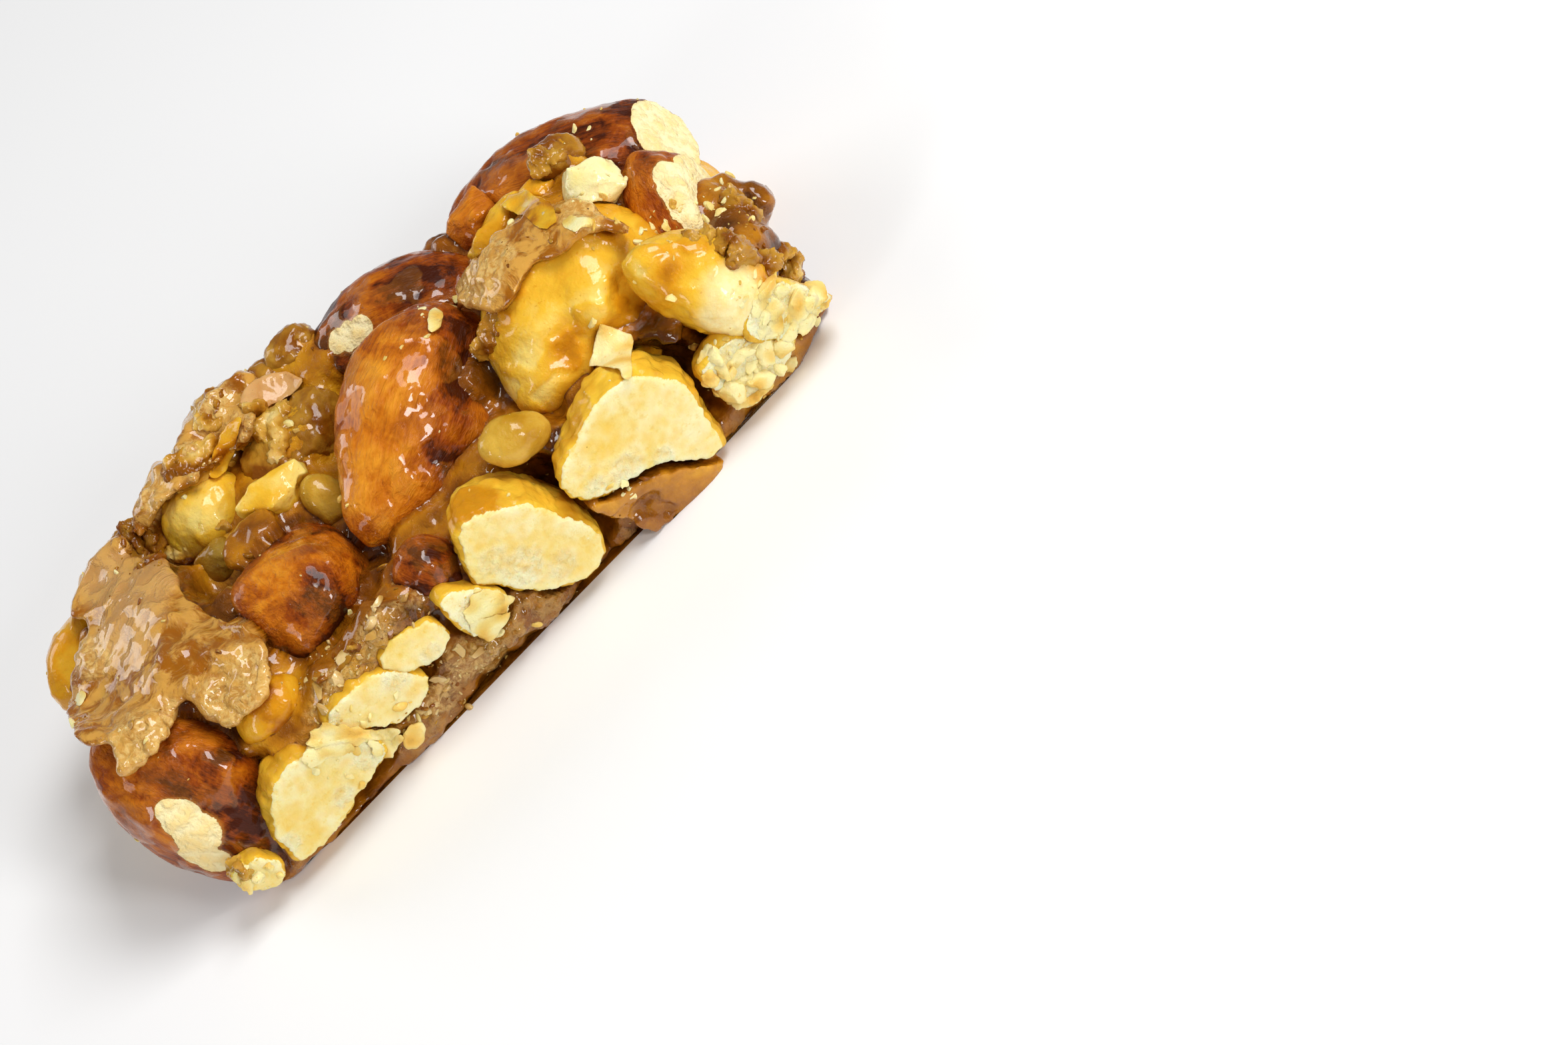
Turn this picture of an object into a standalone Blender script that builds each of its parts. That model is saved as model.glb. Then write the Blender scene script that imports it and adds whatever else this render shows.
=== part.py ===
"""Caramel nut bar: whole and cut nuts pressed into a block of caramel.

The bar lies on its flat underside. Its length runs along X, its front cut side faces -Y,
and the nutty top faces +Z. Sizes in the calls below are millimetres.
"""
import math
import random

import bmesh
import bpy
from mathutils import Matrix, Vector, noise

MM = 0.001

# Driving dimensions, in millimetres
BLOCK_LENGTH = 75.0      # caramel block, without the nuts that stand out of it
BLOCK_WIDTH = 33.5
BLOCK_HEIGHT = 12.5
CORNER_ROUNDING = 8.0    # radius of the block's corners seen from above
BLOCK_CENTRE = (-1.0, 0.0, 0.0)
EDGE_ROUNDING = 2.5
BELOW_CUT = 1.5          # the block starts this far below Z = 0, where it is sliced flat
WAVE_LENGTH = 5.0        # unevenness of the caramel's own surface
WAVE_HEIGHT = 1.3
FRONT_CUT = -19.0        # Y of the cut side that slices the front row of nuts
BACK_CUT = 19.0          # Y of the cut side behind
UNDERSIDE_MARGIN = 0.6   # nuts stay this far above the flat underside
FIT_GAP = 0.3            # free space between solids that touch in the real bar
SOCKET_GAP = 0.55        # the same for a nut's socket, which has fewer faces than the nut
SOCKET_DETAIL = 0.5      # share of a nut's faces that its socket has
SIMPLE_FACES = 100       # a piece with fewer faces keeps them all in its socket
CARAMEL_VOXEL = 1.1      # finest lump of the caramel's outer surface
CARAMEL_FACES = 1500     # triangles of the caramel before its sockets are cut
WELDS = (0.12, 0.08, 0.05, 0.03, 0.01, 0.0)   # slivers welded, coarsest that works first
POCKET_WELD = 0.02       # walls closer than this count as touching
POCKET_RADIUS = 0.7
POCKET_ROUNDS = 4
SHRINK_IN_CARAMEL = 1.1  # how far a nut's skin lies outside the caramel that climbs it

COLOURS = {
    "almond_skin": (0.30, 0.09, 0.02),
    "golden_nut": (0.78, 0.48, 0.12),
    "cut_nut": (0.86, 0.74, 0.46),
    "toffee_nut": (0.55, 0.28, 0.07),
    "caramel": (0.40, 0.17, 0.03),
}


def material(slot):
    """One Principled material for each kind of surface, made once."""
    if slot in bpy.data.materials:
        return bpy.data.materials[slot]
    made = bpy.data.materials.new(slot)
    made.use_nodes = True
    shader = made.node_tree.nodes["Principled BSDF"]
    shader.inputs["Base Color"].default_value = (*COLOURS[slot], 1.0)
    shader.inputs["Roughness"].default_value = 0.25
    shader.inputs["Metallic"].default_value = 0.0
    return made


def clear_scene():
    for thing in list(bpy.data.objects):
        bpy.data.objects.remove(thing, do_unlink=True)


def frame_of(at, along, facing):
    """Placement whose X runs along the piece and whose Z is the side that faces out."""
    length_axis = Vector(along).normalized()
    out_axis = Vector(facing)
    out_axis = (out_axis - out_axis.project(length_axis)).normalized()
    width_axis = out_axis.cross(length_axis)
    turn = Matrix((length_axis, width_axis, out_axis)).transposed().to_4x4()
    return Matrix.Translation(Vector(at) * MM) @ turn


def add_object(name, bm, placement, slot):
    """A shaded object made of the triangles of a bmesh drawn in its own frame."""
    bmesh.ops.triangulate(bm, faces=bm.faces)
    bmesh.ops.recalc_face_normals(bm, faces=bm.faces)
    mesh = bpy.data.meshes.new(name)
    bm.to_mesh(mesh)
    bm.free()
    mesh.materials.append(material(slot))
    mesh.shade_smooth()
    mesh.set_sharp_from_angle(angle=math.radians(35))
    made = bpy.data.objects.new(name, mesh)
    made.matrix_world = placement
    bpy.context.scene.collection.objects.link(made)
    return made


def slice_off(bm, placement, point, normal):
    """Cut away what lies beyond a plane of the bar's frame, and close the cut flat."""
    to_local = placement.inverted()
    plane_point = to_local @ (Vector(point) * MM)
    plane_normal = (to_local.to_3x3() @ Vector(normal)).normalized()
    everything = bm.verts[:] + bm.edges[:] + bm.faces[:]
    bmesh.ops.bisect_plane(bm, geom=everything, dist=1e-6, plane_co=plane_point,
                           plane_no=plane_normal, clear_outer=True)
    rim = [edge for edge in bm.edges if edge.is_boundary]
    if rim:
        bmesh.ops.holes_fill(bm, edges=rim, sides=0)


def detail_for(length):
    """Sides and rings of a nut's mesh, by how large it is."""
    if length > 15:
        return 14, 9
    if length > 8.5:
        return 10, 7
    return 8, 6


def nut(name, slot, size, at, along=(1, 0, 0), facing=(0, 0, 1), point=0.0, bend=0.0,
        lumps=0.035, cuts=(), seed=0):
    """A nut as an uneven egg: point narrows its +X end, bend curls it like a cashew."""
    length, width, depth = (value * MM for value in size)
    sides, rings = detail_for(size[0])
    placement = frame_of(at, along, facing)
    bm = bmesh.new()
    bmesh.ops.create_uvsphere(bm, u_segments=sides, v_segments=rings, radius=1.0)
    for vert in bm.verts:
        run = vert.co.z
        flat = max(0.0, 1.0 - run * run)
        ring = math.sqrt(flat)
        girth = flat ** (0.5 + 0.14 * point * (1 + run)) * (1 - 0.2 * point * run)
        side = vert.co.x / ring if ring > 1e-6 else 0.0
        face = vert.co.y / ring if ring > 1e-6 else 0.0
        swell = 1 + 2 * lumps * noise.noise(vert.co * 1.6 + Vector((seed, 3.1 * seed, 7.7)))
        across = side * girth * swell * width / 2 - bend * width * (run * run - 0.4)
        vert.co = Vector((run * length / 2, across, face * girth * swell * depth / 2))
    slice_off(bm, placement, (0, 0, UNDERSIDE_MARGIN), (0, 0, -1))
    for cut_point, cut_normal in cuts:
        slice_off(bm, placement, cut_point, cut_normal)
    return add_object(name, bm, placement, slot)


def shard(name, slot, size, at, along=(1, 0, 0), facing=(0, 0, 1), corners=16, boxy=0.7,
          seed=0):
    """A broken piece: the hull of corners spread over its size, round or boxy."""
    draw = random.Random(seed)
    placement = frame_of(at, along, facing)
    bm = bmesh.new()
    for index in range(corners):
        height = 1 - 2 * (index + 0.5) / corners
        angle = index * math.pi * (3 - math.sqrt(5)) + draw.uniform(-0.5, 0.5)
        ring = math.sqrt(1 - height * height)
        corner = Vector((ring * math.cos(angle), ring * math.sin(angle), height))
        corner *= 0.5 / max(abs(value) for value in corner) ** boxy * draw.uniform(0.8, 1.0)
        bm.verts.new([corner[axis] * size[axis] * MM for axis in range(3)])
    hull = bmesh.ops.convex_hull(bm, input=bm.verts)
    bmesh.ops.delete(bm, geom=hull["geom_interior"], context="VERTS")
    return add_object(name, bm, placement, slot)


def front_cut(x, z, tilt_x=0.0, tilt_z=0.0, depth=0.0):
    """The knife's plane on the front side, a little uneven from nut to nut."""
    return ((x, FRONT_CUT + depth, z), (tilt_x, -1, tilt_z))


def back_cut(x, z, tilt_x=0.0):
    return ((x, BACK_CUT, z), (tilt_x, 1, 0))


def whole_almonds():
    """Brown-skinned almonds, the largest pieces of the bar."""
    leaning = (0, -0.75, 0.66)
    return [
        nut("almond_middle", "almond_skin", (24.5, 15.4, 10), at=(1.2, -1.6, 15.0),
            along=(-20.5, -10.8, -3), facing=leaning, point=1.0, seed=1),
        nut("almond_far_right", "almond_skin", (26, 14, 10), at=(28.6, 10.6, 12.8),
            along=(-19, 12, 4), facing=(0.2, -0.2, 1), point=0.8, seed=2,
            cuts=[((37.6, 4.6, 10.8), (0.80, -0.45, 0.40))]),
        nut("almond_left_end", "almond_skin", (22, 14, 11), at=(-36.4, -9.6, 9.6),
            along=(-6, 7, 16), facing=(-0.2, -0.9, 0.4), point=0.6, seed=3,
            cuts=[((-39.4, -15.6, 6), (-0.50, -0.82, -0.25))]),
        nut("almond_end_on", "almond_skin", (20, 13.6, 12.4), at=(-16.6, -2.6, 10.8),
            along=(0.15, -0.85, 0.5), facing=(-0.2, 0.4, 0.9), point=0.7, seed=4),
        nut("almond_far_middle", "almond_skin", (20, 12, 9), at=(7.2, 12.0, 14.8),
            along=(-15, 7, 2), facing=(0, -0.3, 1), point=0.8, seed=5,
            cuts=[((3.4, 8.7, 16.6), (-0.35, -0.75, 0.6))]),
        nut("almond_right_half", "almond_skin", (15, 11, 10), at=(32.4, -3.2, 11.2),
            along=(0.1, 0.5, 0.85), facing=(0.9, -0.4, 0.1), point=0.6, seed=6,
            cuts=[((35.6, -4, 11), (0.86, -0.50, 0.1))]),
        nut("almond_tip_front", "almond_skin", (7.2, 6.2, 5.6), at=(-7.2, -14.4, 12.2),
            along=(0.5, -0.5, -0.7), facing=(0, -0.7, 0.7), point=0.5, lumps=0.09, seed=7),
    ]


def golden_nuts():
    """Cashews and skinned nuts with a glaze of caramel, on the top and its edges."""
    return [
        nut("nut_big_golden", "golden_nut", (20.5, 17.4, 13), at=(19.8, -4.4, 13),
            along=(1, 0.06, 0.05), facing=(0, -0.7, 0.7), bend=0.05, seed=11),
        nut("cashew_right_edge", "golden_nut", (15, 8.8, 8), at=(28.8, -14.4, 12.4),
            along=(5, -4.5, -10.5), facing=(-0.3, -0.8, 0.4), bend=0.08, seed=12,
            cuts=[front_cut(32, 7, 0.25, 0, 0.3)]),
        nut("nut_far_left", "golden_nut", (9.2, 8.4, 8), at=(-18.2, 12.0, 14.8),
            along=(1, -0.3, 0), seed=13),
        nut("nut_crusty", "toffee_nut", (12.5, 8, 7.4), at=(-7.6, 10.4, 14.2),
            along=(1, 0.1, 0.05), lumps=0.10, seed=14),
        nut("nut_back_long", "toffee_nut", (13, 5.6, 5.4), at=(-13.4, 16.0, 16.4),
            along=(1, 0.12, 0.06), lumps=0.06, seed=15),
        nut("nut_back_round", "toffee_nut", (9.6, 6.4, 6), at=(-6.4, 16.6, 15.6),
            along=(1, 0.3, 0.1), lumps=0.05, seed=16),
        nut("nut_far_corner", "golden_nut", (12, 7.4, 7), at=(-35.0, 12.4, 13.2),
            along=(1, 0.35, 0.1), seed=17),
        nut("nut_back_left", "toffee_nut", (9.6, 6.4, 6.2), at=(-26.6, 15.2, 14.6),
            along=(1, 0.1, 0), lumps=0.05, seed=18),
        nut("nut_under_flake", "golden_nut", (7.6, 5.6, 5.6), at=(-26, -12.8, 12.8),
            along=(1, 0.1, -0.1), seed=19),
        nut("nut_between", "golden_nut", (7, 4.2, 4), at=(-9.1, 1.2, 13.6),
            along=(-0.1, 0.5, 0.8), seed=20),
        nut("seed_nut", "golden_nut", (6.8, 4.6, 4.4), at=(6.8, -13.4, 15.2),
            along=(6, -1.5, -2.6), facing=(0, -0.7, 0.7), seed=21),
        nut("nut_amber", "toffee_nut", (5.8, 4.8, 4.8), at=(-1.8, 17.0, 17.4), lumps=0.08,
            seed=22),
        nut("nut_raisin_like", "toffee_nut", (5.8, 4.8, 4.6), at=(28.2, 6.8, 18.6), lumps=0.12,
            seed=23),
        shard("nut_wedge", "golden_nut", (8.2, 4.6, 4.4), at=(-12.4, 4.6, 16.6),
              along=(1, -0.1, -0.15), facing=(0, -0.4, 0.9), seed=24),
        shard("nut_green_shard", "golden_nut", (5.6, 5.4, 5), at=(-20.8, 7.2, 13.6), seed=25),
        shard("nut_white_chunk", "cut_nut", (7, 6, 5), at=(28.6, 0.2, 18.4),
              along=(1, -0.5, -0.1), facing=(0, -0.5, 0.8), corners=12, seed=26),
        shard("nut_ridge_piece", "golden_nut", (9, 4.2, 4), at=(20, 7.0, 17.6),
              along=(1, -0.05, -0.05), facing=(0, -0.5, 0.8), seed=27),
        shard("nut_ridge_shard", "golden_nut", (5.2, 3.6, 4.4), at=(25.2, 5.4, 17.8),
              along=(0.6, -0.5, -0.3), seed=28),
        shard("almond_red_piece", "almond_skin", (6.4, 5, 4.6), at=(19, 11.4, 17.2), seed=29),
    ]


def cut_nuts():
    """Nuts that the knife sliced, with flat pale faces on the front side and the ends."""
    return [
        nut("cut_cashew_tall", "cut_nut", (16.2, 12.2, 12), at=(2.8, -16.4, 8.2),
            along=(4.6, 0, -17), facing=(0, -1, 0), point=0.3, seed=31,
            cuts=[front_cut(2.5, 9, -0.03, 0.02)]),
        nut("cut_cashew_wide", "cut_nut", (17.4, 13.0, 12), at=(16.2, -16.2, 7.8),
            along=(1, 0, -0.1), facing=(0, -1, 0), bend=0.06, seed=32,
            cuts=[front_cut(16.7, 8, 0.03, 0.03)]),
        nut("cut_nut_left", "cut_nut", (14.4, 8.8, 9), at=(-27.4, -16.6, 4.8),
            along=(1, 0, -0.12), facing=(0, -1, 0), point=0.4, seed=33,
            cuts=[front_cut(-27.2, 5, -0.04)]),
        nut("cut_nut_second", "cut_nut", (10.6, 6.4, 8), at=(-18.2, -16.8, 8.4),
            along=(8.5, 0, -5), facing=(0, -1, 0), seed=34,
            cuts=[front_cut(-18, 8, 0.02, -0.05, 0.2)]),
        nut("cut_nut_third", "cut_nut", (7.6, 5.6, 7), at=(-12.3, -16.8, 9.2),
            along=(6, 0, -2), facing=(0, -1, 0), seed=35,
            cuts=[front_cut(-11.6, 9, 0, 0.06, 0.3)]),
        nut("cut_nut_cracked", "cut_nut", (6.2, 5.8, 6), at=(-6.6, -17.0, 7.4),
            along=(1, 0, -0.8), facing=(0, -1, 0), lumps=0.07, seed=36,
            cuts=[front_cut(-5.2, 6, 0.1, 0)]),
        nut("cut_nut_corner", "cut_nut", (9.4, 6.2, 8), at=(34.4, -15.4, 4.4),
            along=(1, 0.1, -0.1), facing=(0, -1, 0), lumps=0.08, seed=37,
            cuts=[front_cut(34, 5, 0.22, 0, 0.3)]),
        nut("cut_nut_low", "cut_nut", (8, 5.6, 6), at=(26.8, -16.6, 4.2),
            along=(1, 0, -0.1), facing=(0, -1, 0), lumps=0.05, seed=38,
            cuts=[front_cut(28, 4.5, -0.05, 0, 0.2)]),
        nut("cut_nut_end_bit", "cut_nut", (5.8, 4.6, 4.4), at=(-37.6, -16.2, 3.2),
            along=(1, 0, -0.15), facing=(0, -1, 0), seed=39,
            cuts=[front_cut(-37.6, 3, -0.2, 0, 0.5)]),
    ]


def back_nuts():
    """The hidden back side and ends carry the same mix, sliced by the same knife."""
    return [
        nut("back_almond_long", "almond_skin", (22, 12, 9), at=(-21, 15.0, 6.6),
            along=(1, 0.05, 0.12), facing=(0, 1, 0), point=0.8, seed=51,
            cuts=[back_cut(-21, 6)]),
        nut("back_cashew", "cut_nut", (15, 9.6, 9), at=(-1.4, 15.4, 7.0),
            along=(1, 0, -0.3), facing=(0, 1, 0), bend=0.1, seed=52,
            cuts=[back_cut(0, 7, 0.04)]),
        nut("back_nut_small", "golden_nut", (8.4, 7, 7), at=(10.4, 15.4, 5.8),
            along=(0.4, 0, 1), facing=(0, 1, 0), seed=53, cuts=[back_cut(11.6, 6, -0.05)]),
        nut("back_almond_short", "almond_skin", (17, 10, 9), at=(22.6, 14.6, 5.8),
            along=(1, -0.1, 0.1), facing=(0, 1, 0), point=0.7, seed=54,
            cuts=[back_cut(23, 6, 0.05)]),
        nut("back_nut_corner", "golden_nut", (9, 7.6, 7), at=(-35.0, 11.6, 5.0),
            along=(0.5, 1, 0.1), facing=(-1, 0.3, 0), seed=55),
        nut("end_nut_left", "cut_nut", (10, 8, 7), at=(-37.4, 1.8, 6.8),
            along=(0, 1, 0.2), facing=(-1, 0, 0), seed=56,
            cuts=[((-40.2, 3, 7), (-1, 0.1, 0.1))]),
        nut("end_nut_right", "golden_nut", (11, 8, 7), at=(35.0, 4.6, 5.4),
            along=(0.1, 1, 0.1), facing=(1, 0, 0), bend=0.08, seed=57),
    ]


def copy_of(source, name, offset):
    """A copy in the bar's frame with its skin moved along its normals."""
    mesh = source.data.copy()
    mesh.transform(source.matrix_world)
    bm = bmesh.new()
    bm.from_mesh(mesh)
    bm.normal_update()
    moves = [(vert, vert.normal * offset * MM) for vert in bm.verts]
    for vert, move in moves:
        vert.co += move
    bm.to_mesh(mesh)
    bm.free()
    made = bpy.data.objects.new(name, mesh)
    bpy.context.scene.collection.objects.link(made)
    return made


def apply_modifiers(thing):
    """Replace the mesh by what its modifiers make of it."""
    graph = bpy.context.evaluated_depsgraph_get()
    shaped = bpy.data.meshes.new_from_object(thing.evaluated_get(graph))
    thing.modifiers.clear()
    old_mesh = thing.data
    thing.data = shaped
    bpy.data.meshes.remove(old_mesh)


def remove_all(things):
    for thing in things:
        bpy.data.objects.remove(thing, do_unlink=True)


def shells_of(bm):
    """The separate closed surfaces of a mesh, as lists of faces."""
    waiting = set(bm.faces)
    shells = []
    while waiting:
        edge_of_search = [waiting.pop()]
        shell = []
        while edge_of_search:
            face = edge_of_search.pop()
            shell.append(face)
            for edge in face.edges:
                for other in edge.link_faces:
                    if other in waiting:
                        waiting.remove(other)
                        edge_of_search.append(other)
        shells.append(shell)
    return shells


def signed_volume(shell):
    """Six times the volume that a shell of triangles encloses, negative for a hollow."""
    corners = ([vert.co for vert in face.verts] for face in shell)
    return sum(first.dot(second.cross(third)) for first, second, third in corners)


def welded(mesh, distance):
    """The mesh as triangles, with corners closer than the distance made one."""
    bm = bmesh.new()
    bm.from_mesh(mesh)
    if distance:
        bmesh.ops.remove_doubles(bm, verts=bm.verts, dist=distance * MM)
        bmesh.ops.dissolve_degenerate(bm, edges=bm.edges, dist=distance * MM)
    bmesh.ops.triangulate(bm, faces=bm.faces)
    return bm


def is_closed(bm):
    return (all(edge.is_manifold for edge in bm.edges)
            and all(vert.is_manifold for vert in bm.verts if vert.link_faces))


def clean(thing):
    """Weld slivers as far as the surface stays closed, and keep only the largest body.

    A sealed hollow has a negative volume, so dropping its shell fills it.
    """
    for distance in WELDS:
        bm = welded(thing.data, distance)
        if is_closed(bm) or distance == WELDS[-1]:
            break
        bm.free()
    shells = sorted(shells_of(bm), key=signed_volume, reverse=True)
    scraps = [face for shell in shells[1:] for face in shell]
    bmesh.ops.delete(bm, geom=scraps, context="FACES")
    loose = [vert for vert in bm.verts if not vert.link_faces]
    bmesh.ops.delete(bm, geom=loose, context="VERTS")
    bm.to_mesh(thing.data)
    bm.free()


def world_box(thing):
    corners = [thing.matrix_world @ vert.co for vert in thing.data.vertices]
    low = [min(corner[axis] for corner in corners) for axis in range(3)]
    high = [max(corner[axis] for corner in corners) for axis in range(3)]
    return low, high


def boxes_meet(first, second, gap):
    return all(first[0][axis] < second[1][axis] + gap and second[0][axis] < first[1][axis] + gap
               for axis in range(3))


def socket_for(thing):
    """A nut's socket: its own form with about half the faces, and the fit gap round it."""
    if len(thing.data.polygons) < SIMPLE_FACES:
        return copy_of(thing, "socket", FIT_GAP)
    socket = copy_of(thing, "socket", SOCKET_GAP)
    thin = socket.modifiers.new("thin", "DECIMATE")
    thin.ratio = SOCKET_DETAIL
    bpy.context.view_layer.update()
    apply_modifiers(socket)
    return socket


def part_neighbours(nuts):
    """Where two nuts press together, the later one gives way and keeps the fit gap."""
    boxes = [world_box(thing) for thing in nuts]
    for index, thing in enumerate(nuts):
        cutters = []
        for before in range(index):
            if boxes_meet(boxes[index], boxes[before], FIT_GAP * MM):
                cutter = socket_for(nuts[before])
                cutters.append(cutter)
                cut = thing.modifiers.new("cut", "BOOLEAN")
                cut.operation = "DIFFERENCE"
                cut.object = cutter
        if cutters:
            apply_modifiers(thing)
            remove_all(cutters)
            clean(thing)


def caramel_mass(size, at, facing=(0, 0, 1), along=(1, 0, 0), seed=0):
    """A soft lump that swells the caramel where it runs thick."""
    length, width, depth = (value * MM for value in size)
    bm = bmesh.new()
    bmesh.ops.create_uvsphere(bm, u_segments=12, v_segments=7, radius=0.5)
    for vert in bm.verts:
        swell = 1 + 0.12 * noise.noise(vert.co * 5 + Vector((seed, 0, 0)))
        vert.co = Vector((vert.co.x * length, vert.co.y * width, vert.co.z * depth)) * swell
    return add_object("mass", bm, frame_of(at, along, facing), "caramel")


def caramel_masses():
    """Thick places of the caramel: sheets and flakes on top, runs down the cut side."""
    to_viewer = (0, -0.79, 0.61)
    sheet = [
        caramel_mass((9.6, 8.0, 3.2), at=(-26, -9.0, 15.0), facing=to_viewer, seed=1),
        caramel_mass((8.0, 6.0, 3.0), at=(-31.8, -6.4, 15.2), facing=to_viewer, seed=2),
        caramel_mass((9, 7.5, 5), at=(-33.4, -0.4, 14.8), seed=3),
        caramel_mass((9.4, 8.4, 5), at=(-27.6, 1.0, 15.6), seed=4),
        caramel_mass((9, 6.5, 5), at=(-32.4, 6.0, 15.0), seed=5),
        caramel_mass((8, 7.4, 4.6), at=(-26.2, 6.8, 15.8), seed=6),
        caramel_mass((7, 9, 6), at=(-36.4, 3.6, 12.8), seed=7),
        caramel_mass((7, 6, 5), at=(-23.4, -0.6, 14.6), seed=8),
        caramel_mass((9, 5, 4.4), at=(-29.4, -3.6, 15.4), seed=9),
    ]
    top = [
        caramel_mass((9, 7, 5), at=(18.2, 2.2, 17.0), facing=(0, -0.5, 0.8), seed=11),
        caramel_mass((8, 6.4, 5), at=(24.0, 1.6, 17.2), facing=(0, -0.5, 0.8), seed=12),
        caramel_mass((9, 7, 6), at=(0.6, 14.4, 15.6), seed=13),
        caramel_mass((9, 8, 5), at=(14.5, 8.6, 14.2), seed=14),
        caramel_mass((12, 7, 5), at=(-20.4, 14.4, 15.0), seed=15),
        caramel_mass((8, 6, 5), at=(14.6, 14.6, 13.6), seed=16),
        caramel_mass((8, 7, 5), at=(-14.0, 9.4, 14.0), seed=17),
        caramel_mass((10, 9, 5), at=(27.4, 4.2, 15.6), seed=18),
        caramel_mass((9, 7, 5), at=(-12.4, 4.4, 13.8), seed=19),
        caramel_mass((15, 6, 5.4), at=(-12.0, 15.4, 13.8), seed=20),
        caramel_mass((8, 6, 6), at=(-3.0, 16.0, 14.4), seed=29),
    ]
    front = [
        caramel_mass((8, 5, 6.5), at=(-20, -15.6, 11.4), seed=21),
        caramel_mass((8.6, 5, 7), at=(-13.4, -15.4, 12.2), seed=22),
        caramel_mass((5, 5, 5.5), at=(-27.2, -15.2, 9.6), seed=23),
        caramel_mass((13, 3.4, 4.6), at=(15, -17.2, 2.6), seed=24),
        caramel_mass((11, 3.4, 4.4), at=(-3.6, -17.2, 2.6), seed=25),
        caramel_mass((10, 8, 7), at=(-36.0, -13.8, 3.2), seed=26),
        caramel_mass((10, 8, 6), at=(33.0, -13.6, 3.4), seed=27),
        caramel_mass((6, 7, 8), at=(34.6, -9.6, 8.0), seed=28),
    ]
    back = [
        caramel_mass((10, 5, 8), at=(-31.0, 15.0, 7.4), seed=41),
        caramel_mass((9, 4, 9), at=(-9.4, 16.4, 8.6), seed=42),
        caramel_mass((8, 4, 8), at=(6.0, 16.2, 9.0), seed=43),
        caramel_mass((9, 4, 8), at=(15.6, 16.0, 8.2), seed=44),
        caramel_mass((8, 8, 9), at=(32.4, 11.0, 6.6), seed=45),
        caramel_mass((4, 9, 8), at=(-38.4, -3.4, 5.4), seed=46),
        caramel_mass((4, 8, 8), at=(36.6, -2.4, 5.4), seed=47),
    ]
    return sheet + top + front + back


def hollows():
    """Dark gaps between the nuts that the caramel didn't fill."""
    return [
        caramel_mass((7, 11, 13), at=(-31.4, -17.4, 8.6), seed=31),
        caramel_mass((6, 9, 8), at=(26.2, -17.6, 10.4), seed=32),
        caramel_mass((4, 8, 7), at=(-9.2, -7.5, 14.6), seed=33),
        caramel_mass((4, 7, 7), at=(11.2, -11.0, 14.6), seed=34),
        caramel_mass((3.4, 5, 5), at=(-22.4, 9.6, 15.6), seed=35),
    ]


def caramel_block(nuts):
    """The caramel: a rounded block, thick places, and what climbs every nut."""
    bm = bmesh.new()
    bmesh.ops.create_cube(bm, size=1.0)
    for vert in bm.verts:
        vert.co.x *= BLOCK_LENGTH * MM
        vert.co.y *= BLOCK_WIDTH * MM
        vert.co.z = (vert.co.z + 0.5) * (BLOCK_HEIGHT + BELOW_CUT) * MM - BELOW_CUT * MM
    upright = [edge for edge in bm.edges
               if abs(edge.verts[0].co.z - edge.verts[1].co.z) > 0.5 * BLOCK_HEIGHT * MM]
    bmesh.ops.bevel(bm, geom=upright, offset=CORNER_ROUNDING * MM, segments=5, profile=0.5,
                    affect="EDGES")
    block = add_object("caramel", bm, Matrix.Translation(Vector(BLOCK_CENTRE) * MM), "caramel")
    rounding = block.modifiers.new("rounding", "BEVEL")
    rounding.width = EDGE_ROUNDING * MM
    rounding.segments = 3
    apply_modifiers(block)
    block.data.transform(block.matrix_world)
    block.matrix_world = Matrix.Identity(4)
    pieces = [copy_of(thing, "climb", -SHRINK_IN_CARAMEL) for thing in nuts] + caramel_masses()
    bm = bmesh.new()
    bm.from_mesh(block.data)
    for piece in pieces:
        placed = piece.data.copy()
        placed.transform(piece.matrix_world)
        bm.from_mesh(placed)
        bpy.data.meshes.remove(placed)
    bm.to_mesh(block.data)
    bm.free()
    remove_all(pieces)
    return block


def flatten_underside(thing):
    bm = bmesh.new()
    bm.from_mesh(thing.data)
    slice_off(bm, Matrix.Identity(4), (0, 0, 0), (0, 0, -1))
    bmesh.ops.triangulate(bm, faces=bm.faces)
    bm.to_mesh(thing.data)
    bm.free()


def soften(block):
    """One skin over block, masses and climbs, smoothed as poured caramel and thinned."""
    remesh = block.modifiers.new("skin", "REMESH")
    remesh.mode = "VOXEL"
    remesh.voxel_size = CARAMEL_VOXEL * MM
    apply_modifiers(block)
    for vert in block.data.vertices:
        wave = noise.noise(vert.co / (WAVE_LENGTH * MM))
        vert.co += vert.normal * wave * WAVE_HEIGHT * MM
    smooth = block.modifiers.new("flow", "SMOOTH")
    smooth.iterations = 4
    apply_modifiers(block)
    thin = block.modifiers.new("thin", "DECIMATE")
    thin.ratio = CARAMEL_FACES / (2 * len(block.data.polygons))
    apply_modifiers(block)
    flatten_underside(block)
    clean(block)


def topping(kind, size, at, along=(1, 0, 0), facing=(0, 0, 1), seed=0):
    """A small piece that sticks to the caramel."""
    corners, boxy = {"flake": (10, 0.6), "crumb": (12, 0.5), "lump": (18, 0.0)}[kind]
    return shard(kind, "caramel", size, at, along, facing, corners, boxy, seed)


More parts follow.
